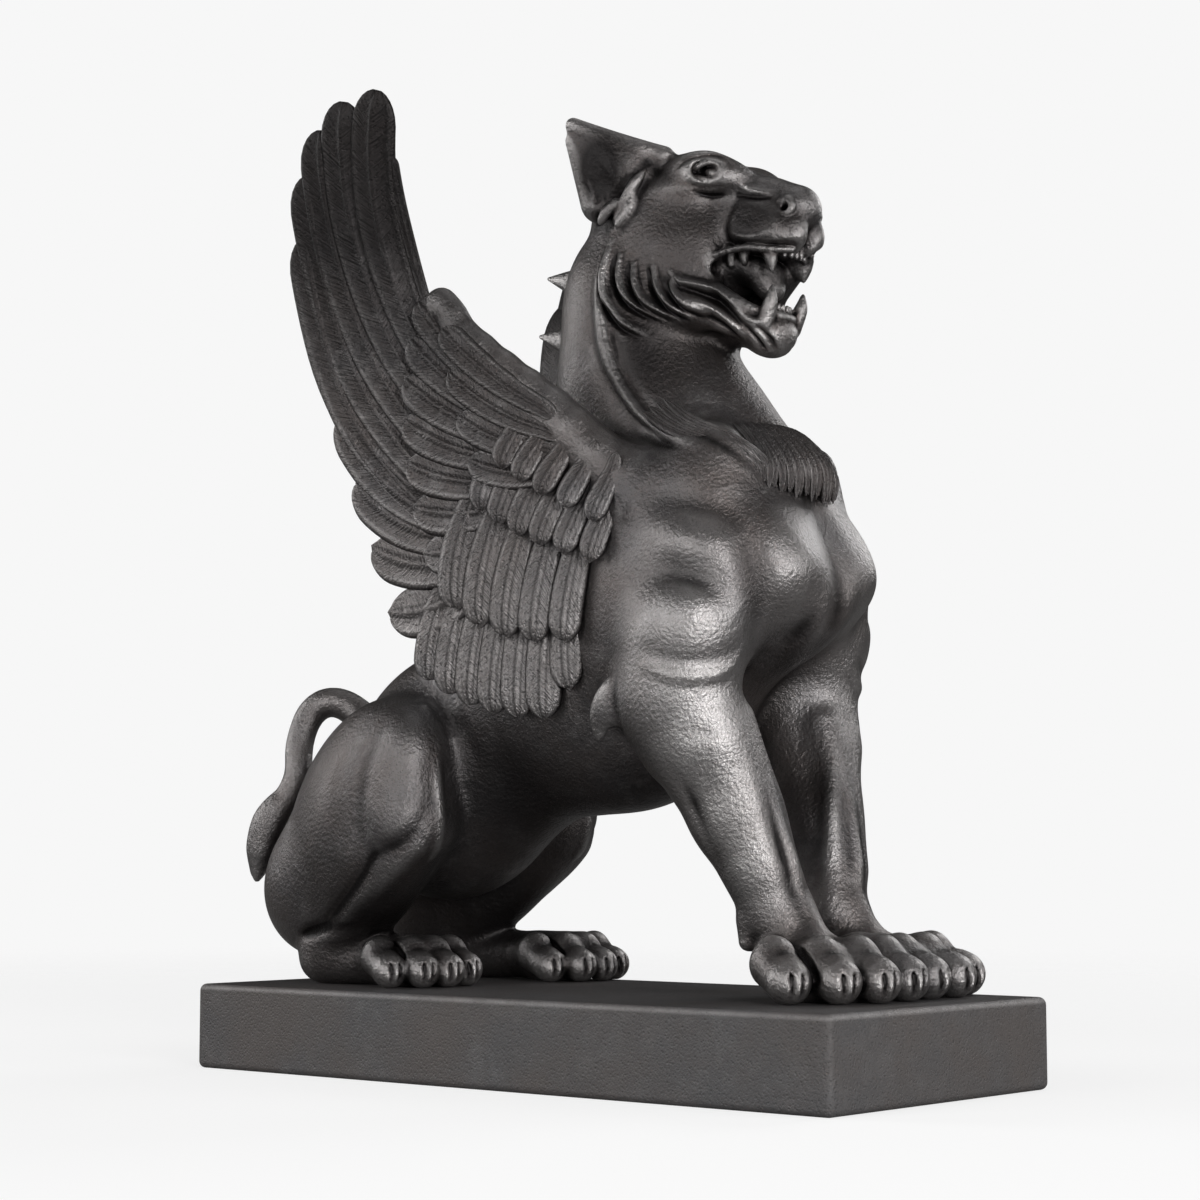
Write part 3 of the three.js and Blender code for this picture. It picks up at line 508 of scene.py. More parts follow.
def skull():
    return melt(
        2,
        egg((7.2, 0, 83), (9.2, 7.2, 7.2), -8),
        egg((14.7, 3.7, 86), (5.2, 3, 2.5), -12, -8),
        egg((9.6, 4.6, 78.5), (8, 3.8, 6.8), -40, -6),
        bone((13.5, 0, 85), (23.6, 0, 81.8), 3.4, 2.3),
        egg((19, 0, 80.6), (5.8, 4.4, 3.6), -18),
    )


def muzzle():
    """The pads of the upper lip on both sides of the furrow under the nose."""
    return [
        egg((21.2, 2.5, 79.5), (3.9, 2.5, 2.65), -20, -12),
        egg((24, 1.6, 78.7), (1.9, 1.5, 2.3), -20),
    ]


def nose():
    return [
        egg((24.2, 0, 81.5), (1.6, 2.2, 1.5), -20),
        bone((21, 0, 83.3), (24.2, 0, 82.1), 1.5, 1.1),
        rope(
            [(23.2, 2.1, 80.9), (24.1, 2.6, 80.7), (24.7, 2.5, 81.3), (24.3, 2.4, 82.1), (23.3, 2.3, 82.1)],
            [0.4, 0.45, 0.45, 0.45, 0.4],
        ),
    ]


def nostril():
    return [
        bone((24.3, 3.2, 81.4), (23.6, 1.6, 81.1), 0.42, 0.3),
        bone((26.4, 0, 80.4), (25.4, 0, 77.2), 0.35, 0.3),
    ]


def lower_jaw():
    return melt(
        1.4,
        bone((5, 5, 72.6), (13.5, 4.2, 72.4), 3.8, 2.8),
        bone((13.5, 4.4, 72.2), (20.2, 1.9, 69.4), 1.9, 1.8),
        bone((12, 0, 71.4), (20.2, 0, 69.2), 2.6, 1.9),
        egg((20.4, 0, 68.6), (2.5, 2.6, 2.2), -20),
    )


def mouth_hollow():
    return [
        bone((15.6, 4.4, 75.8), (26, 3.4, 74.3), 0.5, 3.6),
        bone((15.4, 0, 75.2), (26, 0, 73.6), 1.6, 3),
    ]


def lips():
    """Rolled edges of the mouth, from its corner forward."""
    upper = [
        (14.9, 5.0, 75.6), (15.6, 5.0, 76.5), (17.6, 4.9, 77.1), (20.4, 4.6, 77.3), (22.6, 3.6, 77.0),
        (24.4, 1.8, 77.0),
    ]
    lower = [
        (14.9, 5.0, 75.4), (16.2, 4.7, 74.0), (18.6, 4.0, 72.2), (20.4, 3.2, 70.9), (21.9, 1.8, 70.4),
        (22.4, 0, 70.3),
    ]
    return [
        rope(upper, [0.3, 0.34, 0.34, 0.34, 0.34, 0.3], 1, 3),
        rope(lower, [0.3, 0.42, 0.5, 0.55, 0.5, 0.5], 1, 3),
    ]


def teeth():
    upper_fang = rope([(21.7, 2.8, 78.2), (22.5, 3, 76.2), (22.6, 3, 74.7)], [0.95, 0.62, 0.12])
    lower_fang = rope([(21.3, 2.5, 69.6), (22.3, 2.8, 71.6), (22.6, 2.9, 73.3)], [0.95, 0.65, 0.12])
    front = []
    for i in range(3):
        y = 0.42 + 0.75 * i
        back = 0.13 * i * i
        front.append(bone((23.8 - back, y, 77.8), (24 - back, y, 76.5), 0.42, 0.25))
        front.append(bone((21.9 - back, y * 0.9, 70.2), (22.2 - back, y * 0.9, 71.5), 0.4, 0.25))
    cheek_teeth = [bone((x, 3.3, 77.6), (x, 3.3, 76.1), 0.75, 0.3) for x in (17.6, 19.3)]
    return [upper_fang, lower_fang, front, cheek_teeth]


def tongue():
    return rope(
        [(14.5, 0, 74.6), (17, 0, 76.3), (19.3, 0, 75.6), (20.4, 0, 73.6)], [2.2, 2.1, 1.9, 1.3], 1.5, 3,
    )


def ear():
    root, tip = (6.2, 6.2, 86.2), (1.9, 10.2, 92.3)
    shell = melt(
        1,
        bone(root, tip, 4.2, 0.7, 0.55),
        bone((3.6, 7.8, 84), (1.6, 10, 90.6), 2.2, 0.8, 0.7),
        bone((10, 5, 88.4), tip, 1.4, 0.5),
    )
    hollow = bone((5.4, 10.6, 85), (2.6, 11.4, 91), 3.1, 0.6, 0.6)
    folds = [
        rope([(9.6, 7, 87.4), (8.5, 8, 85.4), (7.4, 8.3, 83.6), (6.2, 8.4, 81.8)], [0.3, 0.45, 0.5, 0.3]),
        rope([(8.2, 7.9, 84.6), (7.9, 8.2, 82.8), (6.6, 8.5, 81.2)], [0.25, 0.5, 0.3]),
        rope([(6.4, 8.5, 83.6), (5.3, 8.8, 82.6), (4.4, 8.7, 81.6)], [0.4, 0.45, 0.3]),
    ]
    return melt(0.35, carve(0.4, shell, hollow), folds)


def ear_marks():
    """Tufts inside the ear."""
    tufts = []
    for t in np.linspace(0, 1, 6):
        low = arc((7.6, 8.8, 84.6), (6.2, 9, 83.6), (3.8, 9, 83.4), t)
        high = arc((6.6, 9.4, 88.6), (5, 9.6, 87.6), (2.8, 9.8, 87), t)
        bend = arc(low, (low + high) / 2 + (0.5, 0, 0), high, 0.5)
        tufts.append(stroke(0.3, 0.26, low, bend, high))
    return tufts


def eye():
    upper = [(14.4, 5.5, 85.9), (15.2, 5.8, 86.5), (16.5, 5.6, 86.8), (17.6, 5, 86.4), (18.4, 4.3, 85.4)]
    lower = [(14.4, 5.5, 85.9), (15.4, 5.8, 85.3), (16.8, 5.5, 85), (18.4, 4.3, 85.3)]
    lids = [rope(upper, [0.15, 0.26, 0.3, 0.26, 0.15], 1, 3), rope(lower, [0.15, 0.22, 0.22, 0.15], 1, 3)]
    return melt(0.12, egg((16.2, 4.4, 85.8), (1.9, 1.1, 1.05), -14, 32), lids)


def eye_socket():
    return egg((16.6, 6.5, 85.8), (2.3, 1.2, 1.15), -16, 32)


def mane_marks():
    """The raised edge of the mane: from behind the ear down the neck, then to the chest."""
    edge = [
        (6, 8.6, 80.6),
        (5.4, 9.6, 76.4),
        (5.4, 10.3, 71.8),
        (6.5, 10.3, 66.4),
        (9, 9.9, 61.8),
        (12.4, 10.2, 58.6),
        (16.6, 10.9, 56.6),
        (20.4, 10.2, 54.8),
        (23.4, 7.6, 52.4),
    ]
    inner = [(x + 1.1, y - 0.3, z + 0.5) for x, y, z in edge[1:]]
    outer = [(x - 1.0, y + 0.2, z - 0.4) for x, y, z in edge]
    return [
        stroke(1.1, 0.75, *edge),
        stroke(-0.35, 0.6, *inner),
        stroke(-0.35, 0.8, *outer),
    ]


def bib():
    """The shelf of hair on the chest that the locks hang over."""
    return [
        rope([(20.6, 6.2, 54.6), (23.2, 3.4, 54.4), (24.2, 0, 54.2)], [1.6, 1.8, 1.9]),
    ]


def nape_spines():
    """A row of thorns down the nape."""
    spines = []
    for i in range(4):
        x, z = arc((-9.8, 79), (-12.6, 70), (-9.4, 56.6), i / 3)
        spines.append(bone((x + 5.6, 0, z - 1.4), (x, 0, z), 2.1, 0.2, 0.6))
    return spines


def wing_arm():
    """A roll from the shoulder up to the wrist of the wing."""
    places = [(12.5, 9.8, 49.5), (6.9, 12.8, 55.5), (2.1, 14.4, 60.4), (-3.3, 16, 65), (-8.2, 17.6, 69.8)]
    return melt(
        1.5,
        rope(places, [4.4, 2.9, 2.5, 2.2, 1.8], 0.8, 2),
        rope([(-7.8, 17.6, 69.6), (-9.8, 18.2, 73.1), (-11.6, 18.4, 71.2)], [1.8, 1.3, 0.9], 0.8, 2),
    )


def head_marks():
    """Locks behind the jaw, folds of the lips, and the lines around eye and nose."""
    ruff = [
        [(7.2, 78.2), (7.3, 75.6), (8.2, 73.2), (9.8, 71.6), (12.2, 70.2)],
        [(8.8, 77), (9.1, 74.8), (10, 72.8), (11.4, 71.4), (13.2, 70.4)],
        [(11, 76.4), (11.4, 74.2), (12.3, 72.4), (13.4, 71.2), (15, 70.4)],
        [(12.8, 74.6), (13.6, 72.8), (14.8, 71.4), (16.6, 70.6)],
        [(5.8, 79), (5.6, 76), (6.2, 73), (8, 70.2), (10.4, 68.6)],
    ]
    marks = []
    for drawn in ruff:
        behind = [(x - 0.62, z - 0.3) for x, z in drawn]
        marks += [side_stroke(0.85, 0.62, 3, *drawn), side_stroke(-0.7, 0.3, 3, *behind)]
        marks.append(side_stroke(-0.22, 0.16, 3, *[(x + 0.35, z + 0.3) for x, z in drawn[:-1]]))
    marks += [
        side_stroke(
            0.55, 0.45, 2.2, (12.2, 76), (14, 74.2), (16.8, 73.4), (18.6, 71.8), (20.4, 69.8),
            (22.4, 69.2),
        ),
        side_stroke(-0.5, 0.3, 2.2, (13.4, 73.8), (16, 72.6), (18, 71), (19.8, 69)),
        side_stroke(0.4, 0.4, 2.2, (13.6, 72.6), (16.4, 71.4), (18.4, 69.6), (19.4, 67.8)),
        side_stroke(-0.4, 0.28, 2.2, (15.6, 70.8), (17.6, 69.4), (18.8, 67.6)),
        side_stroke(-0.35, 0.25, 0.8, (19.6, 69.4), (20.6, 68), (21, 66.6)),
        side_stroke(-0.3, 0.25, 0.6, (21, 69.2), (21.8, 67.8), (21.8, 66.6)),
        side_stroke(-0.2, 0.3, 3.4, (12.8, 86.2), (14, 87.2), (16.2, 87.6), (18.2, 87), (19.2, 85.8)),
        side_stroke(0.2, 0.6, 3.2, (12, 87), (14.8, 88.4), (17.6, 88), (20, 86.2)),
        side_stroke(-0.15, 0.3, 3.2, (13.8, 85), (15.6, 84.3), (18.2, 84.2)),
        side_stroke(-0.2, 0.3, 3.2, (14.4, 84), (16, 83.5), (18, 83.4)),
        side_stroke(-0.2, 0.6, 2, (19.4, 84.8), (18.6, 82.4), (17.8, 80.4), (17.8, 77.8)),
        side_stroke(-0.25, 0.4, 1.8, (18.6, 83.4), (20.8, 82.8), (23, 82.7)),
        side_stroke(0.2, 0.5, 1.4, (18.4, 84.4), (21, 83.6), (23.2, 83)),
        side_stroke(0.25, 0.4, 2.4, (17.8, 79.6), (19.4, 78.6), (21.6, 78.2), (23.6, 78.8)),
        swelling(-0.5, (20.8, 4.9, 80.4), (1.9, 1.4, 1.2), -16),
        swelling(-0.4, (13, 7.4, 81.4), (3, 2, 2.6), -20),
        swelling(0.45, (13.4, 7.4, 84.2), (3.4, 1.8, 1.3), -16),
        swelling(-0.6, (9.8, 7.2, 87.6), (2, 1.6, 1.4), -10),
    ]
    return marks


def head():
    whole = melt(1.8, skull(), nose()[:2], lower_jaw())
    whole = melt(0.7, whole, muzzle())
    hollowed = carve(0.45, carve(0.6, whole, eye_socket()), mouth_hollow())
    hollowed = carve(0.22, melt(0.3, hollowed, nose()[2]), nostril())
    return melt(0.25, melt(0.2, hollowed, eye()), tongue(), lips())


def half_form():
    """Everything that is the same on both sides, apart from the feathers."""
    trunk = melt(3, torso(), neck(), shoulder(), thigh())
    limbed = melt(2.4, melt(1.6, trunk, head()), foreleg(), wing_arm())
    hair = [elbow_tuft(), bib(), nape_spines()]
    whole = melt(0.3, melt(0.6, limbed, ear(), hair), teeth())
    return carved(whole, body_marks(), head_marks(), ear_marks(), mane_marks())


def single_form():
    """The tail, the feet and the cheek's fold, which are placed one by one."""
    cheek_fold = bone((22, 3.2, 76.8), (18.6, 3.4, 74.2), 1.2, 1.6)
    feet = [
        hind_foot((-22, -8.6), -20),
        hind_foot((-17.6, 12.2), -12),
        front_foot(-1, 30.2, -26),
        front_foot(1, 30.7, -4),
    ]
    whole = melt(1, tail(), [shape for shape, marks in feet], cheek_fold)
    return carved(whole, [marks for shape, marks in feet])


def griffin_form():
    """The whole griffin as a distance, cut flat at its soles."""
    half, single = half_form(), single_form()

    def dist(at):
        folded = Points(at.x, np.abs(at.y), at.z)
        return np.maximum(soft_min(half.dist(folded), single.dist(at), SIDES_MELT), -at.z)

    return dist


# Where the skin is parted into pieces. Each dives under its neighbour past the seam.
NECK_SEAM = 64.5
NECK_HALF_WIDTH = 12.5
FACE_SEAM = 4.5
BELLY_SEAM = -3.0
FEET_SEAM = 9.5
SEAM_LAP = 0.8
SEAM_DIVE = 0.06


def head_region(at):
    """Over 0 on the head, in parts from its seam on the neck."""
    return np.minimum(at.z - NECK_SEAM, NECK_HALF_WIDTH - np.abs(at.y))


def trunk_region(at):
    return np.minimum(-head_region(at), at.z - FEET_SEAM)


REGIONS = {
    "griffin_face": lambda at: np.minimum(head_region(at), at.x - FACE_SEAM),
    "griffin_head": lambda at: np.minimum(head_region(at), FACE_SEAM - at.x),
    "griffin_fore": lambda at: np.minimum(trunk_region(at), at.x - BELLY_SEAM),
    "griffin_hind": lambda at: np.minimum(trunk_region(at), BELLY_SEAM - at.x),
    "griffin_feet": lambda at: FEET_SEAM - at.z,
}


def parted(form, inside):
    """The part of a form where inside is over 0, with a lap that dives under the rest."""

    def dist(at):
        beyond = -inside(at)
        dive = SEAM_DIVE * np.clip(beyond, 0, SEAM_LAP)
        return np.maximum(form(at) + dive, beyond - SEAM_LAP)

    return dist


# The net: cells of a grid that the surface passes through, joined by four-sided faces

BLOCK = 12
BLOCK_GROUP = 4
FAR_SHARE = 1.5
CRUMB_SHARE = 0.02
CHUNK = 3.5
PROBES = np.array([(1, 1, 1), (1, -1, -1), (-1, 1, -1), (-1, -1, 1)]) / math.sqrt(3)
CORNERS = [(i, j, k) for k in (0, 1) for j in (0, 1) for i in (0, 1)]
CELL_EDGES = [
    (a, b)
    for a in range(8)
    for b in range(a + 1, 8)
    if sum(p != q for p, q in zip(CORNERS[a], CORNERS[b])) == 1
]


def grid_points(low, step, starts, counts, spacing=1):
    axes = [
        (low[axis] + (starts[axis] + np.arange(counts[axis]) * spacing) * step).astype(np.float32)
        for axis in range(3)
    ]
    return Points(*np.meshgrid(*axes, indexing="ij"))


def sampled(form, low, blocks, step):
    """Distances at every grid point. Blocks far from the surface share their middle's value."""
    middles = np.empty(blocks, np.float32)
    for i in range(0, blocks[0], BLOCK_GROUP):
        for j in range(0, blocks[1], BLOCK_GROUP):
            for k in range(0, blocks[2], BLOCK_GROUP):
                counts = [min(BLOCK_GROUP, n - s) for n, s in zip(blocks, (i, j, k))]
                starts = [(s + 0.5) * BLOCK for s in (i, j, k)]
                at = grid_points(low, step, starts, counts, BLOCK)
                middles[i : i + counts[0], j : j + counts[1], k : k + counts[2]] = form(at)
    values = middles
    for axis in range(3):
        values = np.repeat(values, BLOCK, axis=axis)
    far = FAR_SHARE * BLOCK * step * math.sqrt(3) / 2
    for i, j, k in np.argwhere(np.abs(middles) < far) * BLOCK:
        at = grid_points(low, step, (i, j, k), (BLOCK, BLOCK, BLOCK))
        values[i : i + BLOCK, j : j + BLOCK, k : k + BLOCK] = form(at)
    return values


def surface_net(form, low, high, step):
    """Vertices in parts and four-sided faces of the surface of a form."""
    low = np.asarray(low, float)
    blocks = [int(math.ceil((b - a) / step / BLOCK)) for a, b in zip(low, high)]
    values = sampled(form, low, blocks, step)
    inside = values < 0
    nx, ny, nz = values.shape
    tally = sum(
        inside[i : nx - 1 + i, j : ny - 1 + j, k : nz - 1 + k].astype(np.uint8) for i, j, k in CORNERS
    )
    cells = np.argwhere((tally > 0) & (tally < 8))
    corner_values = np.array([values[tuple((cells + corner).T)] for corner in CORNERS])
    places = np.zeros((len(cells), 3))
    crossings = np.zeros(len(cells))
    for a, b in CELL_EDGES:
        near, away = corner_values[a], corner_values[b]
        crossed = (near < 0) != (away < 0)
        t = np.where(crossed, near / np.where(crossed, near - away, 1), 0)
        start, run = np.array(CORNERS[a]), np.subtract(CORNERS[b], CORNERS[a])
        places += crossed[:, None] * (start + t[:, None] * run)
        crossings += crossed
    places = low + (cells + places / crossings[:, None]) * step
    number = np.full((nx, ny, nz), -1, np.int32)
    number[tuple(cells.T)] = np.arange(len(cells))
    faces = []
    for axis in range(3):
        along, second, third = (np.roll((1, 0, 0), (axis + turn) % 3) for turn in range(3))
        here = inside[1:-1, 1:-1, 1:-1]
        ahead = inside[tuple(slice(1 + s, n - 1 + s) for s, n in zip(along, values.shape))]
        at = np.argwhere(here != ahead) + 1
        ring = [at - second - third, at - third, at, at - second]
        quads = np.stack([number[tuple(cell.T)] for cell in ring], 1)
        outward = inside[tuple(at.T)]
        faces.append(np.where(outward[:, None], quads, quads[:, ::-1]))
    return largest_skin(places, np.concatenate(faces))


def largest_skin(places, faces):
    """Keeps the separate skins that are more than crumbs."""
    label = np.arange(len(places))
    while True:
        least = label[faces].min(1)
        fresh = label.copy()
        for corner in range(4):
            np.minimum.at(fresh, faces[:, corner], least)
        fresh = fresh[fresh]
        if (fresh == label).all():
            break
        label = fresh
    sizes = np.bincount(label[faces[:, 0]], minlength=len(places))
    kept = sizes[label] > CRUMB_SHARE * len(faces)
    faces = faces[kept[faces[:, 0]]]
    used = np.unique(faces)
    renumber = np.zeros(len(places), int)
    renumber[used] = np.arange(len(used))
    return places[used], renumber[faces]


def probed(form, places, apart):
    """Distances at four probes around each place."""
    cells = np.floor(places / CHUNK).astype(int)
    order = np.lexsort(cells.T)
    breaks = np.flatnonzero(np.any(np.diff(cells[order], axis=0), axis=1)) + 1
    found = np.empty((len(PROBES), len(places)))
    for chunk in np.split(order, breaks):
        at = places[chunk][None] + apart * PROBES[:, None]
        found[:, chunk] = form(Points(at[..., 0], at[..., 1], at[..., 2]))
    return found


def outward_of(found):
    ways = found.T @ PROBES
    return ways / np.maximum(np.linalg.norm(ways, axis=1), 1e-9)[:, None]


# Painted light on the skin, painted highlights where strength is over 0 and painted shade under 0: middle
# with y over 0, radii, strength
PAINTED_LIGHT = [
    ((21, 12, 25), (5, 7, 9), 1.1),
    ((24, 9, 13), (4, 6, 6), 0.8),
    ((20.6, 15, 38), (6, 6, 4.5), 0.75),
    ((20, 14, 46), (7, 6, 4), 0.5),
    ((27, 7, 43), (5, 6, 8), 0.6),
    ((-17, 16, 23), (4.5, 5, 8), 0.35),
    ((34, 6, 2.5), (7, 12, 3), 0.5),
    ((-16, 12, 3), (5, 8, 3), 0.3),
    ((1, 7, 70), (5, 7, 12), 0.35),
    ((-24, 12, 8), (9, 9, 6), -0.9),
    ((-9, 10, 22), (9, 12, 10), -0.85),
    ((10, 9, 67), (5, 6, 8), -1),
    ((25.6, 11.2, 43), (1.8, 3, 8), -0.6),
    ((24, 11.2, 50), (3, 4, 3), -0.5),
    ((21, 4, 80), (6, 6, 4), -0.6),
    ((16, 5, 78), (9, 8, 6), -0.2),
    ((18, 3, 74), (6, 5, 2.6), -0.7),
    ((-30, 12, 20), (8, 9, 10), -0.3),
    ((24, 0, 34), (4, 3, 6), -0.5),
    ((5, 10, 87), (2.8, 2.4, 4), -1.8),
    ((23.4, 4, 22), (3.4, 3, 10), -1.1),
    ((8, 14, 28), (2.4, 2, 3), -0.5),
    ((17, 14.6, 32), (6, 3, 6), 0.5),
    ((-9, 19, 70), (4, 4, 5), -0.7),
]
SWELL_REACH = 0.8
SWELL_FULL = 0.14


def skin(name, region, whole, low, high, step, form):
    """One piece of the griffin's skin, settled on its form."""
    own = parted(whole, region)
    places, faces = surface_net(own, low, high, step)
    off = probed(own, places, step / 3)
    places = places - outward_of(off) * np.clip(off.mean(0), -step / 2, step / 2)[:, None]
    around = probed(whole, places, step / 2)
    swell = probed(whole, places, SWELL_REACH).mean(0) / SWELL_FULL
    # Painted highlights and painted shade from the table, stored at the vertices
    folded = np.abs(places * (0, 1, 0)) + places * (1, 0, 1)
    polish = sum(
        strength * np.exp(-(((folded - middle) / radii) ** 2).sum(1)) for middle, radii, strength in PAINTED_LIGHT
    )
    normals = outward_of(around) @ turned(form).T
    return mesh_object(name, placed(places, form), faces, normals, swell=np.clip(swell, -1, 1), polish=polish)


def turned(form):
    return np.array(Matrix.Rotation(math.radians(form.turn), 3, "Z"))


def placed(places, form):
    """From parts to metres in the frame."""
    return places * (form.height / PARTS_TALL) @ turned(form).T + (0, form.side_shift, SEAT)


def linked(name, data):
    """A new object in the scene."""
    made = bpy.data.objects.new(name, data)
    bpy.context.scene.collection.objects.link(made)
    return made


def store(mesh, key, values, kind="FLOAT", field="value"):
    """Writes values at the vertices of a mesh."""
    attribute = mesh.attributes.new(key, kind, "POINT")
    attribute.data.foreach_set(field, np.ascontiguousarray(values, np.float32).ravel())


def mesh_object(name, places, faces, normals, **values):
    """An object at the origin from vertices, four-sided faces, normals and values at the
    vertices."""
    mesh = bpy.data.meshes.new(name)
    mesh.vertices.add(len(places))
    mesh.vertices.foreach_set("co", np.ascontiguousarray(places, np.float32).ravel())
    mesh.loops.add(faces.size)
    mesh.loops.foreach_set("vertex_index", np.ascontiguousarray(faces, np.int32).ravel())
    mesh.polygons.add(len(faces))
    mesh.polygons.foreach_set("loop_start", np.arange(len(faces), dtype=np.int32) * faces.shape[1])
    mesh.polygons.foreach_set("use_smooth", np.ones(len(faces), bool))
    for key, value in values.items():
        store(mesh, key, value)
    mesh.update(calc_edges=True)
    mesh.validate()
    mesh.normals_split_custom_set_from_vertices(normals.tolist())
    return linked(name, mesh)


# Wings: feathers lie in a leaning sheet, drawn by its forward and upward places

SHEET_AT_FORWARD, SHEET_AT_UP, SHEET_SPREAD = 13, 50, 12.5
SHEET_PER_BACK, SHEET_PER_UP = 0.12, 0.13
FLARE_START, FLARE_RUN, FLARE_PER_UP = 70, 12, 0.2
BLADE_STEPS = 32
ROOT_DRAW = 1.2
ROUND_END = 1.2
END_INSET = 0.02
ROOT_WIDTH, WIDTH_GAIN, WIDEN_RATE = 0.62, 0.38, 1.4


def sheet_spread(x, z):
    rise = np.clip(z - FLARE_START, 0, FLARE_RUN)
    flare = FLARE_PER_UP * (rise * rise / (2 * FLARE_RUN) + np.maximum(z - FLARE_START - FLARE_RUN, 0))
    return SHEET_SPREAD + SHEET_PER_UP * (z - SHEET_AT_UP) + SHEET_PER_BACK * (SHEET_AT_FORWARD - x) + flare


def feather_path(root, tip, width, bend, lifts, tilt):
    """Places, half-widths and outward directions along one feather's shaft, and how far each
    place is along it. The feather rises off the sheet from its first lift to its second."""
    root, tip = np.asarray(root, float), np.asarray(tip, float)
    length = float(np.linalg.norm(tip - root))
    ux, uz = (tip - root) / length
    round_end = width * ROUND_END
    turn = np.linspace(0, math.pi, BLADE_STEPS + 1)
    start = -round_end / ROOT_DRAW
    s = mix(start, length, (1 - np.cos(turn)) / 2)
    s[0] += END_INSET * width
    s[-1] -= END_INSET * width
    t = np.clip(s / length, 0, 1)
    side = bend * length * 4 * t * (1 - t)
    x = root[0] + s * ux - side * uz
    z = root[1] + s * uz + side * ux
    half = width * (ROOT_WIDTH + WIDTH_GAIN * np.sin(np.minimum(1, t * WIDEN_RATE) * math.pi / 2))
    beyond = np.maximum(np.maximum(s - length + round_end, 0), -s * ROOT_DRAW) / round_end
    half = half * np.sqrt(np.maximum(1 - beyond**2, 1e-3))
    share = 1 / math.sqrt(1 + SHEET_PER_BACK**2 + SHEET_PER_UP**2)
    y = sheet_spread(x, z) + mix(*lifts, t * t * (3 - 2 * t)) / share
    outward = np.array([SHEET_PER_BACK, 1, -SHEET_PER_UP]) * share
    across = np.array([-uz, 0, ux])
    across -= outward * (across @ outward)
    face = outward - across * tilt
    face /= np.linalg.norm(face)
    return np.stack([x, y, z], 1), half, np.tile(face, (len(s), 1)), s - start


def fan(count, roots, tips, width, bend, lifts, tilt):
    """Feathers side by side, with roots along a line and tips along a curve."""
    paths = []
    for t in np.linspace(0, 1, count):
        root = mix(np.asarray(roots[0], float), np.asarray(roots[1], float), t)
        paths.append(feather_path(root, arc(*tips, t), mix(*width, t), mix(*bend, t), lifts, tilt))
    return paths


# Each fan: feathers, the roots' line, the tips' curve, half-widths and bends of the first and
# the last feather, lifts at root and tip, tilt, thickness by half-width, flutes
FANS = {
    "primaries": (
        5, [(-8, 62), (-12, 50)], [(-12.7, 95.4), (-22.6, 96.2), (-25.6, 82)],
        (2.8, 3), (0.155, 0.13), (0, 0), 0.14, 0.22, 1,
    ),
    "secondaries": (
        5, [(-10, 51), (-6, 45)], [(-24.7, 70), (-22.8, 55), (-19.6, 40.6)],
        (2.8, 2.9), (0.13, 0.12), (0, 0), 0.14, 0.24, 1,
    ),
    "coverts": (
        7, [(-3, 63), (-3, 49)], [(-11.8, 73.4), (-17, 62), (-13.6, 46.6)],
        (2.2, 2.6), (0.04, 0.1), (0.5, 0.9), 0.2, 0.3, 2,
    ),
    "arm_coverts": (
        4, [(3, 60.5), (3, 54)], [(-8.6, 70), (-8, 63), (-6.4, 56)],
        (1.7, 2), (0.05, 0.08), (1.2, 1.6), 0.2, 0.36, 2,
    ),
    "hanging": (
        6, [(-9, 47), (2, 46)], [(-14.6, 33), (-8.6, 28.6), (-0.4, 28.6)],
        (1.9, 2.1), (-0.08, -0.03), (-0.4, 0.7), -0.2, 0.3, 3,
    ),
    "middle": (
        5, [(-5.6, 54), (6.4, 49)], [(-9.6, 40.4), (-4.2, 36), (3.4, 36.4)],
        (2.2, 1.9), (-0.08, -0.03), (0.6, 1.6), -0.2, 0.32, 3,
    ),
    "scapulars": (
        6, [(-2.4, 58), (10, 51.4)], [(-5, 50.4), (-0.6, 46.6), (7.6, 44.4)],
        (1.8, 1.5), (-0.06, -0.03), (0.6, 2.1), -0.2, 0.3, 3,
    ),
    "upper_scapulars": (
        5, [(0.4, 60), (10.6, 54)], [(-1.8, 54.6), (1.8, 51.6), (8.6, 48.4)],
        (1.6, 1.4), (-0.05, -0.02), (1, 2.5), -0.2, 0.32, 3,
    ),
}
# The wing's leading edge, and the foremost hanging feather
LONE_FEATHERS = {
    "primaries": ((-10.4, 69.6), (-12.5, 88.5), 0.8, 0.05, (0.1, 0.1), 0),
    "hanging": ((3, 42), (3, 31.6), 1.9, -0.03, (-0.2, 0.8), -0.15),
}


def feather_groups():
    """The feathers of one wing, by kind: paths, thickness, number of flutes."""
    groups = {}
    for kind, (*drawn, thickness, flutes) in FANS.items():
        paths = fan(*drawn)
        if kind in LONE_FEATHERS:
            paths.append(feather_path(*LONE_FEATHERS[kind]))
        groups[kind] = (paths, thickness, flutes)
    return groups


LOCK_STEPS = 14


def lock_path(places, width):
    """A lock of hair that tapers to its end."""
    run = smooth_line(places, LOCK_STEPS // (len(places) - 1))
    share = np.linspace(0, 1, len(run))
    half = width * np.sqrt(np.clip(share * 8, 0.02, 1)) * np.sqrt(np.clip(1.02 - share**3, 0.02, 1))
    outward = np.stack([np.full(len(run), 0.85), 0.12 * run[:, 1], np.full(len(run), 0.52)], 1)
    return run, half, outward / np.linalg.norm(outward, axis=1)[:, None], share * 9


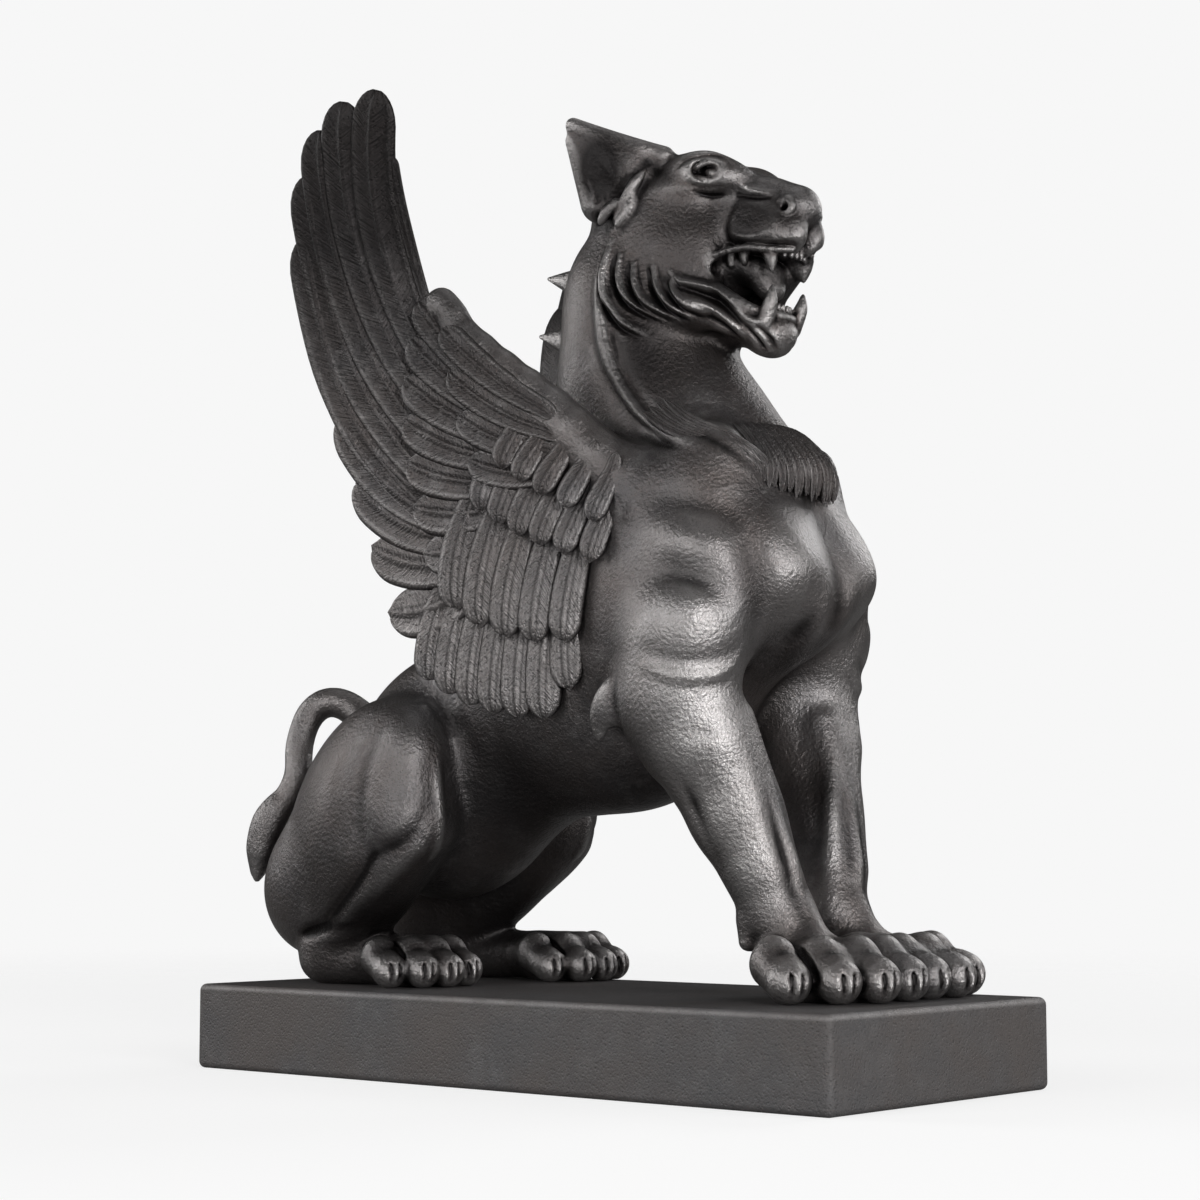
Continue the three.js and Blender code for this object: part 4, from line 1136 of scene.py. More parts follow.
def bib_paths():
    """Narrow locks side by side on the chest, longest in the middle, in two rows."""
    paths = []
    for row, count, out, drop in ((0, 7, 0.5, 0.0), (1, 7, 0.75, 0.7)):
        for i in range(-count, count + 1 - row):
            side = i + 0.5 * row
            y = 0.92 * side
            back = 0.05 * side * side
            curl = 0.25 * math.sin(2.1 * i + row)
            length = 0.5 * abs(math.sin(1.7 * i + 2 * row))
            paths.append(lock_path([
                (21 - back + out, y * 0.8, 59 - drop * 0.6),
                (23.6 - back + out, y * 0.92, 56.8 - drop * 0.3),
                (25.6 - back + out, y + curl * 0.6, 53.8),
                (25.9 - back + out * 0.6, y + curl, 51.2 - length - drop * 0.5 + 0.02 * side * side),
            ], 0.6))
    for mirror in (-1, 1):
        for i in range(4):
            share = i / 3
            paths.append(lock_path([
                (11.4 + 2.2 * share, mirror * (10.6 - 0.8 * share), 60.2 + 1.2 * share),
                (15.6 + 1.4 * share, mirror * (11 - 1 * share), 57.6 + 1.1 * share),
                (19.6 + 1.4 * share, mirror * (10.2 - 1.4 * share), 55.8 + 0.9 * share),
                (22.4 + 1.3 * share, mirror * (8 - 1.4 * share), 53.8 + 0.6 * share),
                (23.4 + 1.2 * share, mirror * (6.6 - 1.2 * share), 51.4 + 0.2 * share),
            ], 0.72))
    return paths


# Node trees


def new_tree(name, kind, inputs, outputs):
    """A node group with named inputs for its values, and named outputs."""
    tree = bpy.data.node_groups.new(name, kind)
    for label, socket_kind, default in inputs:
        socket = tree.interface.new_socket(label, in_out="INPUT", socket_type=socket_kind)
        if default is not None:
            socket.default_value = default
    for label, socket_kind in outputs:
        tree.interface.new_socket(label, in_out="OUTPUT", socket_type=socket_kind)
    return tree


def add_node(tree, kind, links=None, **settings):
    """A node with its settings, and with its inputs linked or set by name or number."""
    node = tree.nodes.new(kind)
    for key, value in settings.items():
        setattr(node, key, value)
    for key, value in (links or {}).items():
        socket = node.inputs[key]
        if isinstance(value, bpy.types.NodeSocket):
            tree.links.new(value, socket)
        else:
            socket.default_value = value
    return node


class Values:
    """Writes sums as nodes in a tree."""

    def __init__(self, tree):
        self.tree = tree

    def node(self, kind, links=None, **settings):
        return add_node(self.tree, kind, links, **settings).outputs[0]

    def work(self, operation, *values):
        return self.node("ShaderNodeMath", dict(enumerate(values)), operation=operation)

    def add(self, first, *others):
        for other in others:
            first = self.work("ADD", first, other)
        return first

    def times(self, first, *others):
        for other in others:
            first = self.work("MULTIPLY", first, other)
        return first

    def bell(self, value, width):
        """1 where value is 0, falling to 0 past the width."""
        return self.work("EXPONENT", self.times(self.work("POWER", self.times(value, 1 / width), 2.0), -1.0))

    def ramp(self, value, low, high, to_low=0.0, to_high=1.0, smooth=False):
        links = {0: value, 1: low, 2: high, 3: to_low, 4: to_high}
        kind = "SMOOTHSTEP" if smooth else "LINEAR"
        return self.node("ShaderNodeMapRange", links, interpolation_type=kind)


LOT_STEP = 0.37
TOP_SHARE = 0.72
BACK_SHARE = 0.8
SHAFT_WIDTH = 0.1
RIM_AT, RIM_WIDTH = 0.82, 0.12


def sweep_tree():
    """Sweeps a blade along paths: a fluted face with a shaft and raised rims over a plain back.
    Each path point has its half-width and its outward direction."""
    tree = new_tree(
        "FlutedSweep",
        "GeometryNodeTree",
        [
            ("Geometry", "NodeSocketGeometry", None),
            ("Around", "NodeSocketInt", 32),
            ("Thickness", "NodeSocketFloat", 0.4),
            ("Flutes", "NodeSocketFloat", 3.0),
            ("Flute Depth", "NodeSocketFloat", 0.03),
            ("Shaft", "NodeSocketFloat", 0.1),
            ("Rim", "NodeSocketFloat", 0.05),
            ("Material", "NodeSocketMaterial", None),
        ],
        [("Geometry", "NodeSocketGeometry")],
    )
    v = Values(tree)
    given = add_node(tree, "NodeGroupInput").outputs
    half = v.node("GeometryNodeInputNamedAttribute", {"Name": "half"}, data_type="FLOAT")
    outward = v.node("GeometryNodeInputNamedAttribute", {"Name": "outward"}, data_type="FLOAT_VECTOR")
    path = v.node("GeometryNodeMeshToCurve", {"Mesh": given["Geometry"]})
    path = v.node("GeometryNodeSetCurveNormal", {"Curve": path, "Normal": outward}, mode="FREE")
    circle = add_node(
        tree, "GeometryNodeCurvePrimitiveCircle", {"Resolution": given["Around"], "Radius": 1.0},
    )
    number = v.node("GeometryNodeInputIndex")
    turn = v.work("DIVIDE", number, given["Around"])
    rising = v.ramp(turn, 0.0, TOP_SHARE, -1.0, 1.0)
    falling = v.ramp(turn, TOP_SHARE, 1.0, 0.0, 2.0)
    across = v.work("SUBTRACT", rising, falling)
    on_top = v.work("LESS_THAN", turn, TOP_SHARE)
    width = v.work("ABSOLUTE", across)
    body = v.work("SQRT", v.work("SUBTRACT", 1.0, v.work("POWER", width, 4.0)))
    wave = v.times(v.work("COSINE", v.times(across, given["Flutes"], 2 * math.pi)), given["Flute Depth"])
    shaft = v.times(v.bell(across, SHAFT_WIDTH), given["Shaft"])
    rim = v.times(v.bell(v.add(width, -RIM_AT), RIM_WIDTH), given["Rim"])
    carving = v.times(v.add(wave, shaft, rim), body)
    face = v.add(v.times(body, given["Thickness"]), carving)
    back = v.times(body, given["Thickness"], -BACK_SHARE)
    height = v.add(v.times(face, on_top), v.times(back, v.work("SUBTRACT", 1.0, on_top)))
    place = v.node("ShaderNodeCombineXYZ", {0: height, 1: across})
    marks = {"Geometry": circle.outputs[0], "Name": "across", "Value": across}
    marked = v.node("GeometryNodeStoreNamedAttribute", marks, data_type="FLOAT", domain="POINT")
    profile = v.node("GeometryNodeSetPosition", {"Geometry": marked, "Position": place})
    sweep = {"Curve": path, "Profile Curve": profile, "Scale": half, "Fill Caps": True}
    swept_path = v.node("GeometryNodeCurveToMesh", sweep)
    smooth = v.node("GeometryNodeSetShadeSmooth", {0: swept_path})
    real = v.node("GeometryNodeRealizeInstances", {0: smooth})
    done = v.node("GeometryNodeSetMaterial", {"Geometry": real, "Material": given["Material"]})
    add_node(tree, "NodeGroupOutput", {0: done})
    return tree


def swept(name, tree, paths, form, material, mirror=1, **inputs):
    """A plain mesh of sweeps along the paths, drawn in parts."""
    part = form.height / PARTS_TALL
    flip = np.array([1, mirror, 1])
    counts = [len(path[0]) for path in paths]
    firsts = np.cumsum([0, *counts])
    edges = [(first + i, first + i + 1) for first, count in zip(firsts, counts) for i in range(count - 1)]
    mesh = bpy.data.meshes.new(name + "_paths")
    places, half, outward, along = (np.concatenate(values) for values in zip(*paths))
    mesh.from_pydata(placed(places * flip, form).tolist(), edges, [])
    store(mesh, "half", half * part)
    store(mesh, "along", along)
    store(mesh, "lot", np.repeat(np.arange(len(paths)), counts) * LOT_STEP)
    store(mesh, "outward", outward * flip @ turned(form).T, "FLOAT_VECTOR", "vector")
    source = linked(name + "_paths", mesh)
    modifier = source.modifiers.new("Sweep", "NODES")
    modifier.node_group = tree
    inputs["Material"] = material
    for item in tree.interface.items_tree:
        if item.in_out == "INPUT" and item.name in inputs:
            modifier[item.identifier] = inputs[item.name]
    bpy.context.view_layer.update()
    evaluated = source.evaluated_get(bpy.context.evaluated_depsgraph_get())
    result = bpy.data.meshes.new_from_object(evaluated)
    result.name = name
    source.modifiers.remove(modifier)
    bpy.data.objects.remove(source)
    return result


def joined(name, meshes):
    """One object from several plain meshes with the same attributes."""
    pieces = [linked(name, mesh) for mesh in meshes]
    with bpy.context.temp_override(active_object=pieces[0], selected_editable_objects=pieces):
        bpy.ops.object.join()
    pieces[0].name = name
    return pieces[0]


# Finishes

CLOUD_SCALE, BLOTCH_SCALE, SPECK_SCALE, PIT_SCALE = 16.0, 60.0, 1100.0, 420.0
BROWN_TINT, BLUE_TINT = (0.13, 0.109, 0.1, 1), (0.105, 0.108, 0.116, 1)
SPECK_TINT = (0.19, 0.11, 0.08, 1)
COAT_ROUGHNESS = 0.4


def blended(tree, share, low, high):
    node = add_node(tree, "ShaderNodeMix", {0: share, 6: low, 7: high}, data_type="RGBA")
    return node.outputs[2]


def patina_group():
    """Bronze under a dark patina: colour, roughness and height from the swell of the surface, which is under
    0 in hollows and over 0 on ridges, and from mottling and the cast skin. Hollows take painted shade over
    their dark patina, ridges and rubbed blotches take the worn colour, and painted light adds painted
    highlights and painted shade."""
    tree = new_tree(
        "DarkPatina",
        "ShaderNodeTree",
        [
            ("Swell", "NodeSocketFloat", 0.0),
            ("Patina", "NodeSocketColor", (0.05, 0.046, 0.045, 1)),
            ("Worn", "NodeSocketColor", (0.2, 0.185, 0.18, 1)),
            ("Hollow", "NodeSocketColor", (0.008, 0.007, 0.007, 1)),
            ("Smooth", "NodeSocketFloat", 0.34),
            ("Rough", "NodeSocketFloat", 0.6),
            ("Skin Size", "NodeSocketFloat", 420.0),
            ("Pitting", "NodeSocketFloat", 0.0),
            ("Blotches", "NodeSocketFloat", 1.0),
            ("Polish", "NodeSocketFloat", 0.0),
        ],
        [("Color", "NodeSocketColor"), ("Roughness", "NodeSocketFloat"), ("Height", "NodeSocketFloat")],
    )
    v = Values(tree)
    given = add_node(tree, "NodeGroupInput").outputs
    at = add_node(tree, "ShaderNodeTexCoord").outputs["Object"]

    def noise(scale, detail, rough=0.55):
        links = {"Vector": at, "Scale": scale, "Detail": detail, "Roughness": rough}
        return add_node(tree, "ShaderNodeTexNoise", links).outputs[0]

    cloud = noise(CLOUD_SCALE, 3.0)
    blotch = noise(BLOTCH_SCALE, 5.0, 0.65)
    grain = noise(given["Skin Size"], 4.0, 0.6)
    speck = noise(SPECK_SCALE, 2.0)
    swell = given["Swell"]
    ridge = v.times(v.ramp(swell, 0.1, 0.9), v.ramp(blotch, 0.3, 0.6, 0.45, 1.0))
    rubbed = v.times(v.ramp(blotch, 0.48, 0.72), v.ramp(cloud, 0.4, 0.7, 0.1, 0.6), given["Blotches"])
    # Painted highlight: places where painted light is over 0, blotched, go towards the worn colour
    painted_highlight = v.times(v.ramp(given["Polish"], 0.0, 1.0), v.ramp(blotch, 0.2, 0.6, 0.6, 1.15))
    worn = v.work("MAXIMUM", v.work("MAXIMUM", ridge, rubbed), painted_highlight)
    tinted = blended(tree, v.ramp(cloud, 0.35, 0.65), BROWN_TINT, BLUE_TINT)
    base = blended(tree, 0.35, given["Patina"], tinted)
    colour = blended(tree, worn, base, given["Worn"])
    colour = blended(tree, v.times(v.ramp(speck, 0.62, 0.7), 0.3), colour, SPECK_TINT)
    colour = blended(tree, v.times(v.ramp(speck, 0.4, 0.32), 0.5, given["Blotches"]), colour, given["Hollow"])
    # Painted shade: hollows, and places where painted light is under 0, go towards the near-black hollow
    # colour
    shadowed = v.work("MAXIMUM", v.ramp(swell, 0.0, -0.8), v.ramp(given["Polish"], 0.0, -1.0))
    colour = blended(tree, shadowed, colour, given["Hollow"])
    dull = v.ramp(v.add(worn, v.times(grain, 0.4)), 1.2, 0.0)
    rough = v.add(v.times(dull, v.work("SUBTRACT", given["Rough"], given["Smooth"])), given["Smooth"])
    pits = add_node(tree, "ShaderNodeTexVoronoi", {"Vector": at, "Scale": PIT_SCALE}).outputs[0]
    pits = v.times(v.ramp(pits, 0.0, 0.4, -1.0, 0.0), given["Pitting"])
    height = v.add(grain, v.times(blotch, 0.8, given["Blotches"]), pits)
    add_node(tree, "NodeGroupOutput", {0: colour, 1: rough, 2: height})
    return tree


def mark(v, key):
    return add_node(v.tree, "ShaderNodeAttribute", attribute_name=key).outputs["Fac"]


def height_in_frame(v):
    at = add_node(v.tree, "ShaderNodeTexCoord").outputs["Object"]
    return add_node(v.tree, "ShaderNodeSeparateXYZ", {0: at}).outputs[2]


def skin_marks(v):
    """Ridges and hollows of the skin, with painted shade in the hollows, and its painted highlights and
    painted shade, from its own attributes.
    """
    return {"Swell": mark(v, "swell"), "Polish": mark(v, "polish")}, None


def plinth_marks(v):
    """A painted highlight along the rounded upper edge, and painted shade on the top."""
    up = height_in_frame(v)
    low, high = PLINTH_HIGH.z - PLINTH_EDGE, PLINTH_HIGH.z
    # Painted highlight on the rounded upper edge, and painted shade on the top face
    edge = v.times(v.bell(v.add(up, -(low + high) / 2), PLINTH_EDGE / 3), 0.5)
    return {"Swell": v.add(edge, v.ramp(up, high - 0.0005, high - 0.0001, 0.0, -0.45))}, None


def feather_marks(v):
    """Rubbed rims, painted shade along the edges and in a line beside the shaft, and slanting barbs. Painted
    light darkens the feathers upwards: lighter low on the wing, painted shade towards the tops.
    """
    along, across, lot = (mark(v, key) for key in ("along", "across", "lot"))
    width = v.work("ABSOLUTE", across)
    slope = v.add(along, v.times(width, -2.2), lot)
    slant = v.node("ShaderNodeCombineXYZ", {0: v.times(slope, 4.2), 1: v.times(across, 0.7), 2: lot})
    barbs = v.node("ShaderNodeTexNoise", {"Vector": slant, "Scale": 1.0, "Detail": 2.0})
    rim = v.times(v.bell(v.add(width, -0.74), 0.1), 0.5)
    # Painted shadow: darker at each feather's edge, and in a line beside the shaft
    edge = v.add(v.ramp(width, 0.86, 1.0, 0.1, -0.9), rim)
    shade_beside_shaft = v.times(v.bell(v.add(width, -0.2), 0.09), -0.5)
    # Painted light: lighter on the low feathers, painted shade towards the tops
    polish = v.ramp(height_in_frame(v), 0.28, 0.52, 0.45, -0.9)
    return {"Swell": v.add(edge, shade_beside_shaft), "Polish": polish}, v.times(barbs, 1.3)


def new_material(name):
    """A material with its node writer and its shader."""
    material = bpy.data.materials.new(name)
    material.use_nodes = True
    return material, Values(material.node_tree), material.node_tree.nodes["Principled BSDF"]


def bronze(name, group, finish, marks, **values):
    """A bronze with its own values. marks gives the patina's inputs and any added height."""
    material, v, shader = new_material(name)
    tree = v.tree
    shader.inputs["Metallic"].default_value = values.pop("metallic", finish.metallic)
    shader.inputs["Coat Weight"].default_value = finish.wax
    shader.inputs["Coat Roughness"].default_value = COAT_ROUGHNESS
    patina = add_node(tree, "ShaderNodeGroup", node_tree=group)
    for key, value in values.items():
        patina.inputs[key.replace("_", " ").title()].default_value = value
    marked, raised = marks(v)
    for key, value in marked.items():
        tree.links.new(value, patina.inputs[key])
    height = patina.outputs["Height"]
    if raised:
        height = v.add(height, raised)
    tree.links.new(patina.outputs["Color"], shader.inputs["Base Color"])
    tree.links.new(patina.outputs["Roughness"], shader.inputs["Roughness"])
    bump = {"Strength": finish.bump, "Distance": finish.relief, "Height": height}
    tree.links.new(v.node("ShaderNodeBump", bump), shader.inputs["Normal"])
    return material


# Values of each kind of bronze that differ from the group's own
BRONZES = {
    "skin": (skin_marks, {"rough": 0.42, "smooth": 0.29}),
    "feathers": (
        feather_marks,
        {"rough": 0.52, "smooth": 0.32, "skin_size": 260.0, "pitting": 0.6, "blotches": 1.4},
    ),
    "plinth": (
        plinth_marks,
        {"metallic": 0.3, "rough": 0.68, "smooth": 0.5, "pitting": 0.7, "skin_size": 700.0, "blotches": 0.3},
    ),
}


def colour_of(value):
    return (*value, 1.0)


def bronze_for(kind):
    """The finish of the griffin's skin, its feathers or the plinth, made once."""
    name = "bronze_" + kind
    if name in bpy.data.materials:
        return bpy.data.materials[name]
    finish = bpy.context.scene.griffin_finish
    group = bpy.data.node_groups.get("DarkPatina") or patina_group()
    colours = {key: colour_of(getattr(finish, key)) for key in ("patina", "worn", "hollow")}
    if kind == "plinth":
        colours["patina"] = colour_of(finish.plinth)
    marks, values = BRONZES[kind]
    return bronze(name, group, finish, marks, **values, **colours)


# Settings a user would change


def length(name, description, default):
    return FloatProperty(name=name, description=description, default=default, unit="LENGTH")


def grid_step(name, place, default):
    return FloatProperty(
        name=name, description=f"Grid step of the {place}, in parts", default=default, min=0.1,
    )


def share(name, description, default):
    return FloatProperty(name=name, description=description, default=default, min=0, max=1)


def tint(name, description, default):
    return FloatVectorProperty(name=name, description=description, subtype="COLOR", default=default)


class GriffinForm(bpy.types.PropertyGroup):
    height: length("Height", "Griffin's height from soles to wing tips", 0.554)
    side_shift: length("Side shift", "How far left of the plinth's middle it sits", 0.015)
    turn: FloatProperty(name="Turn", description="Turn on the plinth, in degrees", default=2.5)
    face_step: grid_step("Face step", "face", 0.19)
    head_step: grid_step("Head step", "neck", 0.22)
    body_step: grid_step("Body step", "trunk", 0.33)
    feet_step: grid_step("Feet step", "feet", 0.27)
    coarser: FloatProperty(name="Coarser", description="Multiplies the steps", default=1.0, min=1.0)


class GriffinFeathers(bpy.types.PropertyGroup):
    around: IntProperty(name="Around", description="Faces around each feather", default=28, min=8)
    flute_depth: share("Flute depth", "Depth as a share of half-width", 0.03)
    shaft: share("Shaft", "Rise of the shaft as a share of half-width", 0.11)
    rim: share("Rim", "Rise of the rims as a share of half-width", 0.06)


class GriffinFinish(bpy.types.PropertyGroup):
    patina: tint("Patina", "Colour of the dark patina", (0.1, 0.09, 0.088))
    # Colour of wear, and of painted highlights
    worn: tint("Worn", "Colour where it is rubbed", (0.36, 0.345, 0.34))
    # Near-black colour of painted shade in hollows, over their dark patina
    hollow: tint("Hollow", "Colour in hollows", (0.012, 0.01, 0.01))
    plinth: tint("Plinth", "Colour of the plinth", (0.085, 0.08, 0.079))
    metallic: share("Metallic", "Share of bare metal", 0.85)
    wax: share("Wax", "Weight of the wax coat", 0.12)
    bump: share("Bump", "Strength of the cast skin", 0.75)
    relief: length("Relief", "Depth of the cast skin", 0.0012)


class GriffinStage(bpy.types.PropertyGroup):
    floor_radius: length("Floor radius", "Radius of the floor", 3.0)
    backdrop: FloatProperty(name="Backdrop", description="Brightness of the backdrop", default=0.93)
    surround: FloatProperty(name="Surround", description="Brightness that the bronze mirrors", default=0.04)
    key: FloatProperty(name="Key", description="Power of the main softbox", default=46.0, unit="POWER")


def finished(piece, kind, node):
    """Gives a piece its finish, its body and the CAD node that it stands for."""
    if not piece.data.materials:
        piece.data.materials.append(bronze_for(kind))
    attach(piece, BODY)
    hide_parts(node)


# Each piece of the skin: the box that holds it, in parts, and its step
SKIN_BOXES = {
    "griffin_face": ((3.2, -11.4, 63), (28.4, 11.4, 94), "face_step"),
    "griffin_head": ((-14.6, -13.4, 63), (6, 13.4, 95), "head_step"),
    "griffin_fore": ((-4.6, -20.4, 8), (33.4, 20.4, 68), "body_step"),
    "griffin_hind": ((-49, -23.4, 8), (-1.6, 23.4, 84), "body_step"),
    "griffin_feet": ((-48, -19, -0.8), (40.6, 19, 11), "feet_step"),
}


class GRIFFIN_OT_skin(bpy.types.Operator):
    """Makes the griffin's body, head and feet"""
    bl_idname = "griffin.skin"
    bl_label = "Make body and head"

    def execute(self, context):
        form = context.scene.griffin_form
        whole = griffin_form()
        for name, (low, high, step) in SKIN_BOXES.items():
            step = getattr(form, step) * form.coarser
            piece = skin(name, REGIONS[name], whole, low, high, step, form)
            finished(piece, "skin", "griffin")
        return {"FINISHED"}


class GRIFFIN_OT_wings(bpy.types.Operator):
    """Makes the feathers of both wings"""
    bl_idname = "griffin.wings"
    bl_label = "Make feathers"

    def execute(self, context):
        scene = context.scene
        feathers = scene.griffin_feathers
        tree = bpy.data.node_groups.get("FlutedSweep") or sweep_tree()
        shared = {
            "Around": feathers.around,
            "Flute Depth": feathers.flute_depth,
            "Shaft": feathers.shaft,
            "Rim": feathers.rim,
        }
        form, material = scene.griffin_form, bronze_for("feathers")
        for name, mirror in (("wing_near", -1), ("wing_far", 1)):
            meshes = []
            for kind, (paths, thickness, flutes) in feather_groups().items():
                inputs = {"Thickness": thickness, "Flutes": float(flutes), **shared}
                label = f"{name}_{kind}"
                meshes.append(swept(label, tree, paths, form, material, mirror, **inputs))
            finished(joined(name, meshes), "feathers", "griffin")
        return {"FINISHED"}


class GRIFFIN_OT_bib(bpy.types.Operator):
    """Makes the narrow locks on the chest"""
    bl_idname = "griffin.bib"
    bl_label = "Make bib"

    def execute(self, context):
        tree = bpy.data.node_groups.get("FlutedSweep") or sweep_tree()
        inputs = {"Around": 20, "Thickness": 0.8, "Flutes": 2.0, "Flute Depth": 0.1, "Shaft": 0.1, "Rim": 0.0}
        form = context.scene.griffin_form
        mesh = swept("bib_locks", tree, bib_paths(), form, bronze_for("feathers"), 1, **inputs)
        finished(linked("bib_locks", mesh), "feathers", "griffin")
        return {"FINISHED"}


class GRIFFIN_OT_plinth(bpy.types.Operator):
    """Makes the plinth with its rounded edges"""
    bl_idname = "griffin.plinth"
    bl_label = "Make plinth"

    def execute(self, context):
        mesh = bpy.data.meshes.new("plinth_block")
        low, high = PLINTH_LOW, PLINTH_HIGH
        ends = [(low.x, high.x), (low.y, high.y), (low.z, high.z)]
        corners = [Vector((x, y, z)) for z in ends[2] for y in ends[1] for x in ends[0]]
        faces = [(0, 2, 3, 1), (4, 5, 7, 6), (0, 1, 5, 4), (2, 6, 7, 3), (0, 4, 6, 2), (1, 3, 7, 5)]
        mesh.from_pydata(corners, [], faces)
        piece = linked("plinth_block", mesh)
        bevel = piece.modifiers.new("Edges", "BEVEL")
        bevel.width = PLINTH_EDGE
        bevel.segments = PLINTH_EDGE_STEPS
        mesh.polygons.foreach_set("use_smooth", [True] * len(faces))
        weighted = piece.modifiers.new("Normals", "WEIGHTED_NORMAL")
        weighted.keep_sharp = True
        finished(piece, "plinth", "plinth")
        return {"FINISHED"}


# The camera stands close to the floor, ahead of the griffin's right shoulder
CAMERA_PLACE = (1.040, -1.2207, 0.1374)
CAMERA_YAW, CAMERA_PITCH = 130.48, 5.67
FOCAL_PIXELS, PHOTO_PIXELS, SENSOR_WIDTH = 2563, 1200, 36.0

# Softboxes: place, and power as a share of the main one's
SOFTBOXES = {
    "key": ((2.3, -1.1, 0.55), 1.0),
    "side": ((-0.5, -2.5, 0.9), 0.45),
    "low": ((0.6, -2.5, 0.35), 0.16),
    "rear": ((-2.4, -0.9, 1.1), 0.48),
    "front": ((2.4, 0.9, 1.1), 0.36),
    "back": ((0.2, 2.5, 1.6), 0.4),
    "top": ((0.0, 0.2, 2.4), 0.1),
}
SOFTBOX_SIZE = 1.2
SOFTBOX_AIM = Vector((0, 0, 0.3))
FLOOR_SIDES = 96
FLOOR_SHADE, FLOOR_ROUGHNESS, FLOOR_GLOW = 0.32, 0.8, 0.72
FADE_START, FADE_END = 0.22, 0.8


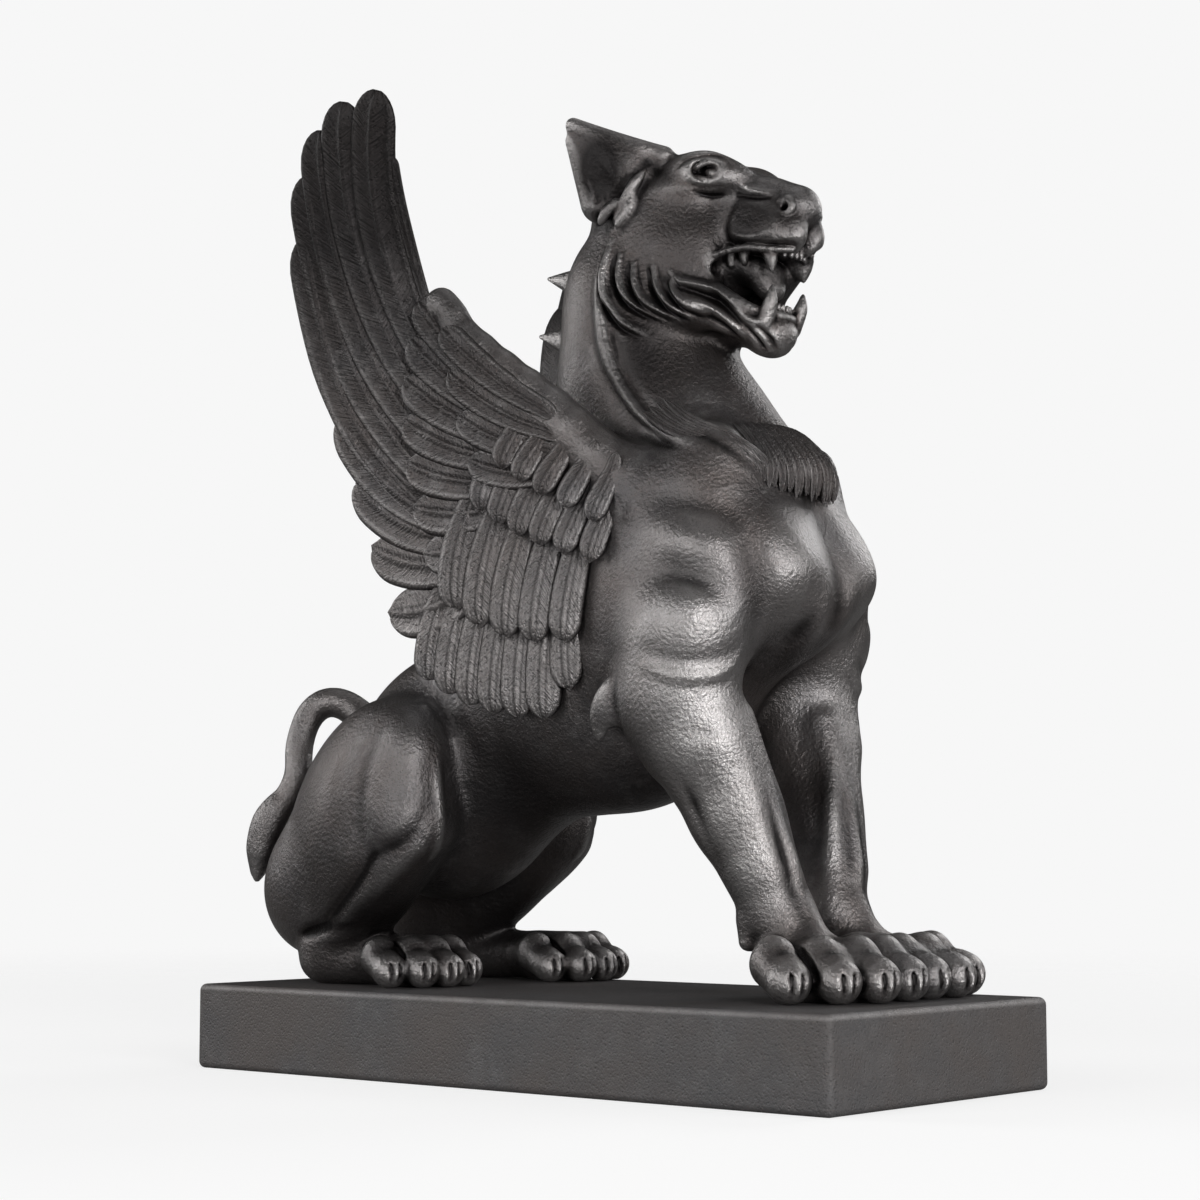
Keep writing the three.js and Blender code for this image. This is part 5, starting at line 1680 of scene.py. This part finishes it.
class GRIFFIN_OT_stage(bpy.types.Operator):
    """Makes the pale floor, the lights and the camera"""
    bl_idname = "griffin.stage"
    bl_label = "Make stage"

    def execute(self, context):
        scene = context.scene
        stage = scene.griffin_stage
        self.floor(stage)
        for name, (place, power) in SOFTBOXES.items():
            self.light(name, place, stage.key * power)
        self.world(scene, stage)
        self.camera(scene)
        scene.view_settings.view_transform = "Standard"
        return {"FINISHED"}

    def floor(self, stage):
        """A round floor that takes a soft shadow and fades into the backdrop."""
        radius = stage.floor_radius
        mesh = bpy.data.meshes.new("floor")
        rim = np.linspace(0, 2 * math.pi, FLOOR_SIDES + 1)[:-1]
        corners = [(radius * math.cos(t), radius * math.sin(t), 0) for t in rim]
        mesh.from_pydata(corners, [], [range(FLOOR_SIDES)])
        floor = linked("floor", mesh)
        material, v, shader = new_material("pale_floor")
        tree = v.tree
        shader.inputs["Base Color"].default_value = (*[FLOOR_SHADE] * 3, 1)
        shader.inputs["Roughness"].default_value = FLOOR_ROUGHNESS
        shader.inputs["Specular IOR Level"].default_value = 0.0
        shader.inputs["Emission Color"].default_value = (1, 1, 1, 1)
        seen = add_node(tree, "ShaderNodeLightPath").outputs["Is Camera Ray"]
        glow = add_node(tree, "ShaderNodeEmission", {0: (1, 1, 1, 1), 1: v.times(seen, FLOOR_GLOW)})
        lit = add_node(tree, "ShaderNodeAddShader", {0: shader.outputs[0], 1: glow.outputs[0]})
        at = add_node(tree, "ShaderNodeTexCoord").outputs["Object"]
        away = add_node(tree, "ShaderNodeVectorMath", {0: at}, operation="LENGTH").outputs["Value"]
        fade = v.ramp(away, radius * FADE_START, radius * FADE_END, smooth=True)
        clear = add_node(tree, "ShaderNodeBsdfTransparent")
        faded = add_node(tree, "ShaderNodeMixShader", {0: fade, 1: lit.outputs[0], 2: clear.outputs[0]})
        tree.links.new(faded.outputs[0], tree.nodes["Material Output"].inputs[0])
        floor.data.materials.append(material)

    def light(self, name, place, power):
        data = bpy.data.lights.new(name, "AREA")
        data.size = SOFTBOX_SIZE
        data.energy = power
        light = linked(name, data)
        light.location = place
        aim = SOFTBOX_AIM - Vector(place)
        light.rotation_euler = aim.to_track_quat("-Z", "Y").to_euler()
        light.visible_camera = False

    def world(self, scene, stage):
        """A pale backdrop for the camera, and dim surroundings for the bronze to mirror."""
        world = bpy.data.worlds.new("studio")
        world.use_nodes = True
        tree = world.node_tree
        backdrop = tree.nodes["Background"]
        backdrop.inputs["Color"].default_value = (*[stage.backdrop] * 3, 1)
        dim = add_node(tree, "ShaderNodeBackground", {0: (1, 1, 1, 1), 1: stage.surround})
        seen = add_node(tree, "ShaderNodeLightPath").outputs["Is Camera Ray"]
        both = add_node(tree, "ShaderNodeMixShader", {0: seen, 1: dim.outputs[0], 2: backdrop.outputs[0]})
        tree.links.new(both.outputs[0], tree.nodes["World Output"].inputs[0])
        scene.world = world

    def camera(self, scene):
        data = bpy.data.cameras.new("camera")
        data.sensor_width = SENSOR_WIDTH
        data.lens = FOCAL_PIXELS / PHOTO_PIXELS * SENSOR_WIDTH
        camera = linked("camera", data)
        yaw, pitch = math.radians(CAMERA_YAW), math.radians(CAMERA_PITCH)
        look = Vector((math.cos(yaw) * math.cos(pitch), math.sin(yaw) * math.cos(pitch), math.sin(pitch)))
        camera.location = CAMERA_PLACE
        camera.rotation_euler = look.to_track_quat("-Z", "Y").to_euler()
        scene.camera = camera


class GRIFFIN_PT_panel(bpy.types.Panel):
    """Lists the pieces and the settings"""
    bl_idname = "GRIFFIN_PT_panel"
    bl_label = "Griffin"
    bl_space_type = "VIEW_3D"
    bl_region_type = "UI"
    bl_category = "Griffin"

    def draw(self, context):
        for operator in OPERATORS:
            self.layout.operator(operator.bl_idname)
        for name, group in SETTINGS.items():
            for key in group.__annotations__:
                self.layout.prop(getattr(context.scene, name), key)


OPERATORS = (GRIFFIN_OT_skin, GRIFFIN_OT_wings, GRIFFIN_OT_bib, GRIFFIN_OT_plinth, GRIFFIN_OT_stage)
SETTINGS = {
    "griffin_form": GriffinForm,
    "griffin_feathers": GriffinFeathers,
    "griffin_finish": GriffinFinish,
    "griffin_stage": GriffinStage,
}


def register():
    for name, group in SETTINGS.items():
        bpy.utils.register_class(group)
        setattr(bpy.types.Scene, name, PointerProperty(type=group))
    for cls in (*OPERATORS, GRIFFIN_PT_panel):
        bpy.utils.register_class(cls)


def unregister():
    for cls in reversed((*OPERATORS, GRIFFIN_PT_panel)):
        bpy.utils.unregister_class(cls)
    for name, group in reversed(SETTINGS.items()):
        delattr(bpy.types.Scene, name)
        bpy.utils.unregister_class(group)


def main():
    register()
    bpy.ops.griffin.skin()
    bpy.ops.griffin.wings()
    bpy.ops.griffin.bib()
    bpy.ops.griffin.plinth()
    bpy.ops.griffin.stage()


if __name__ == "__main__":
    main()
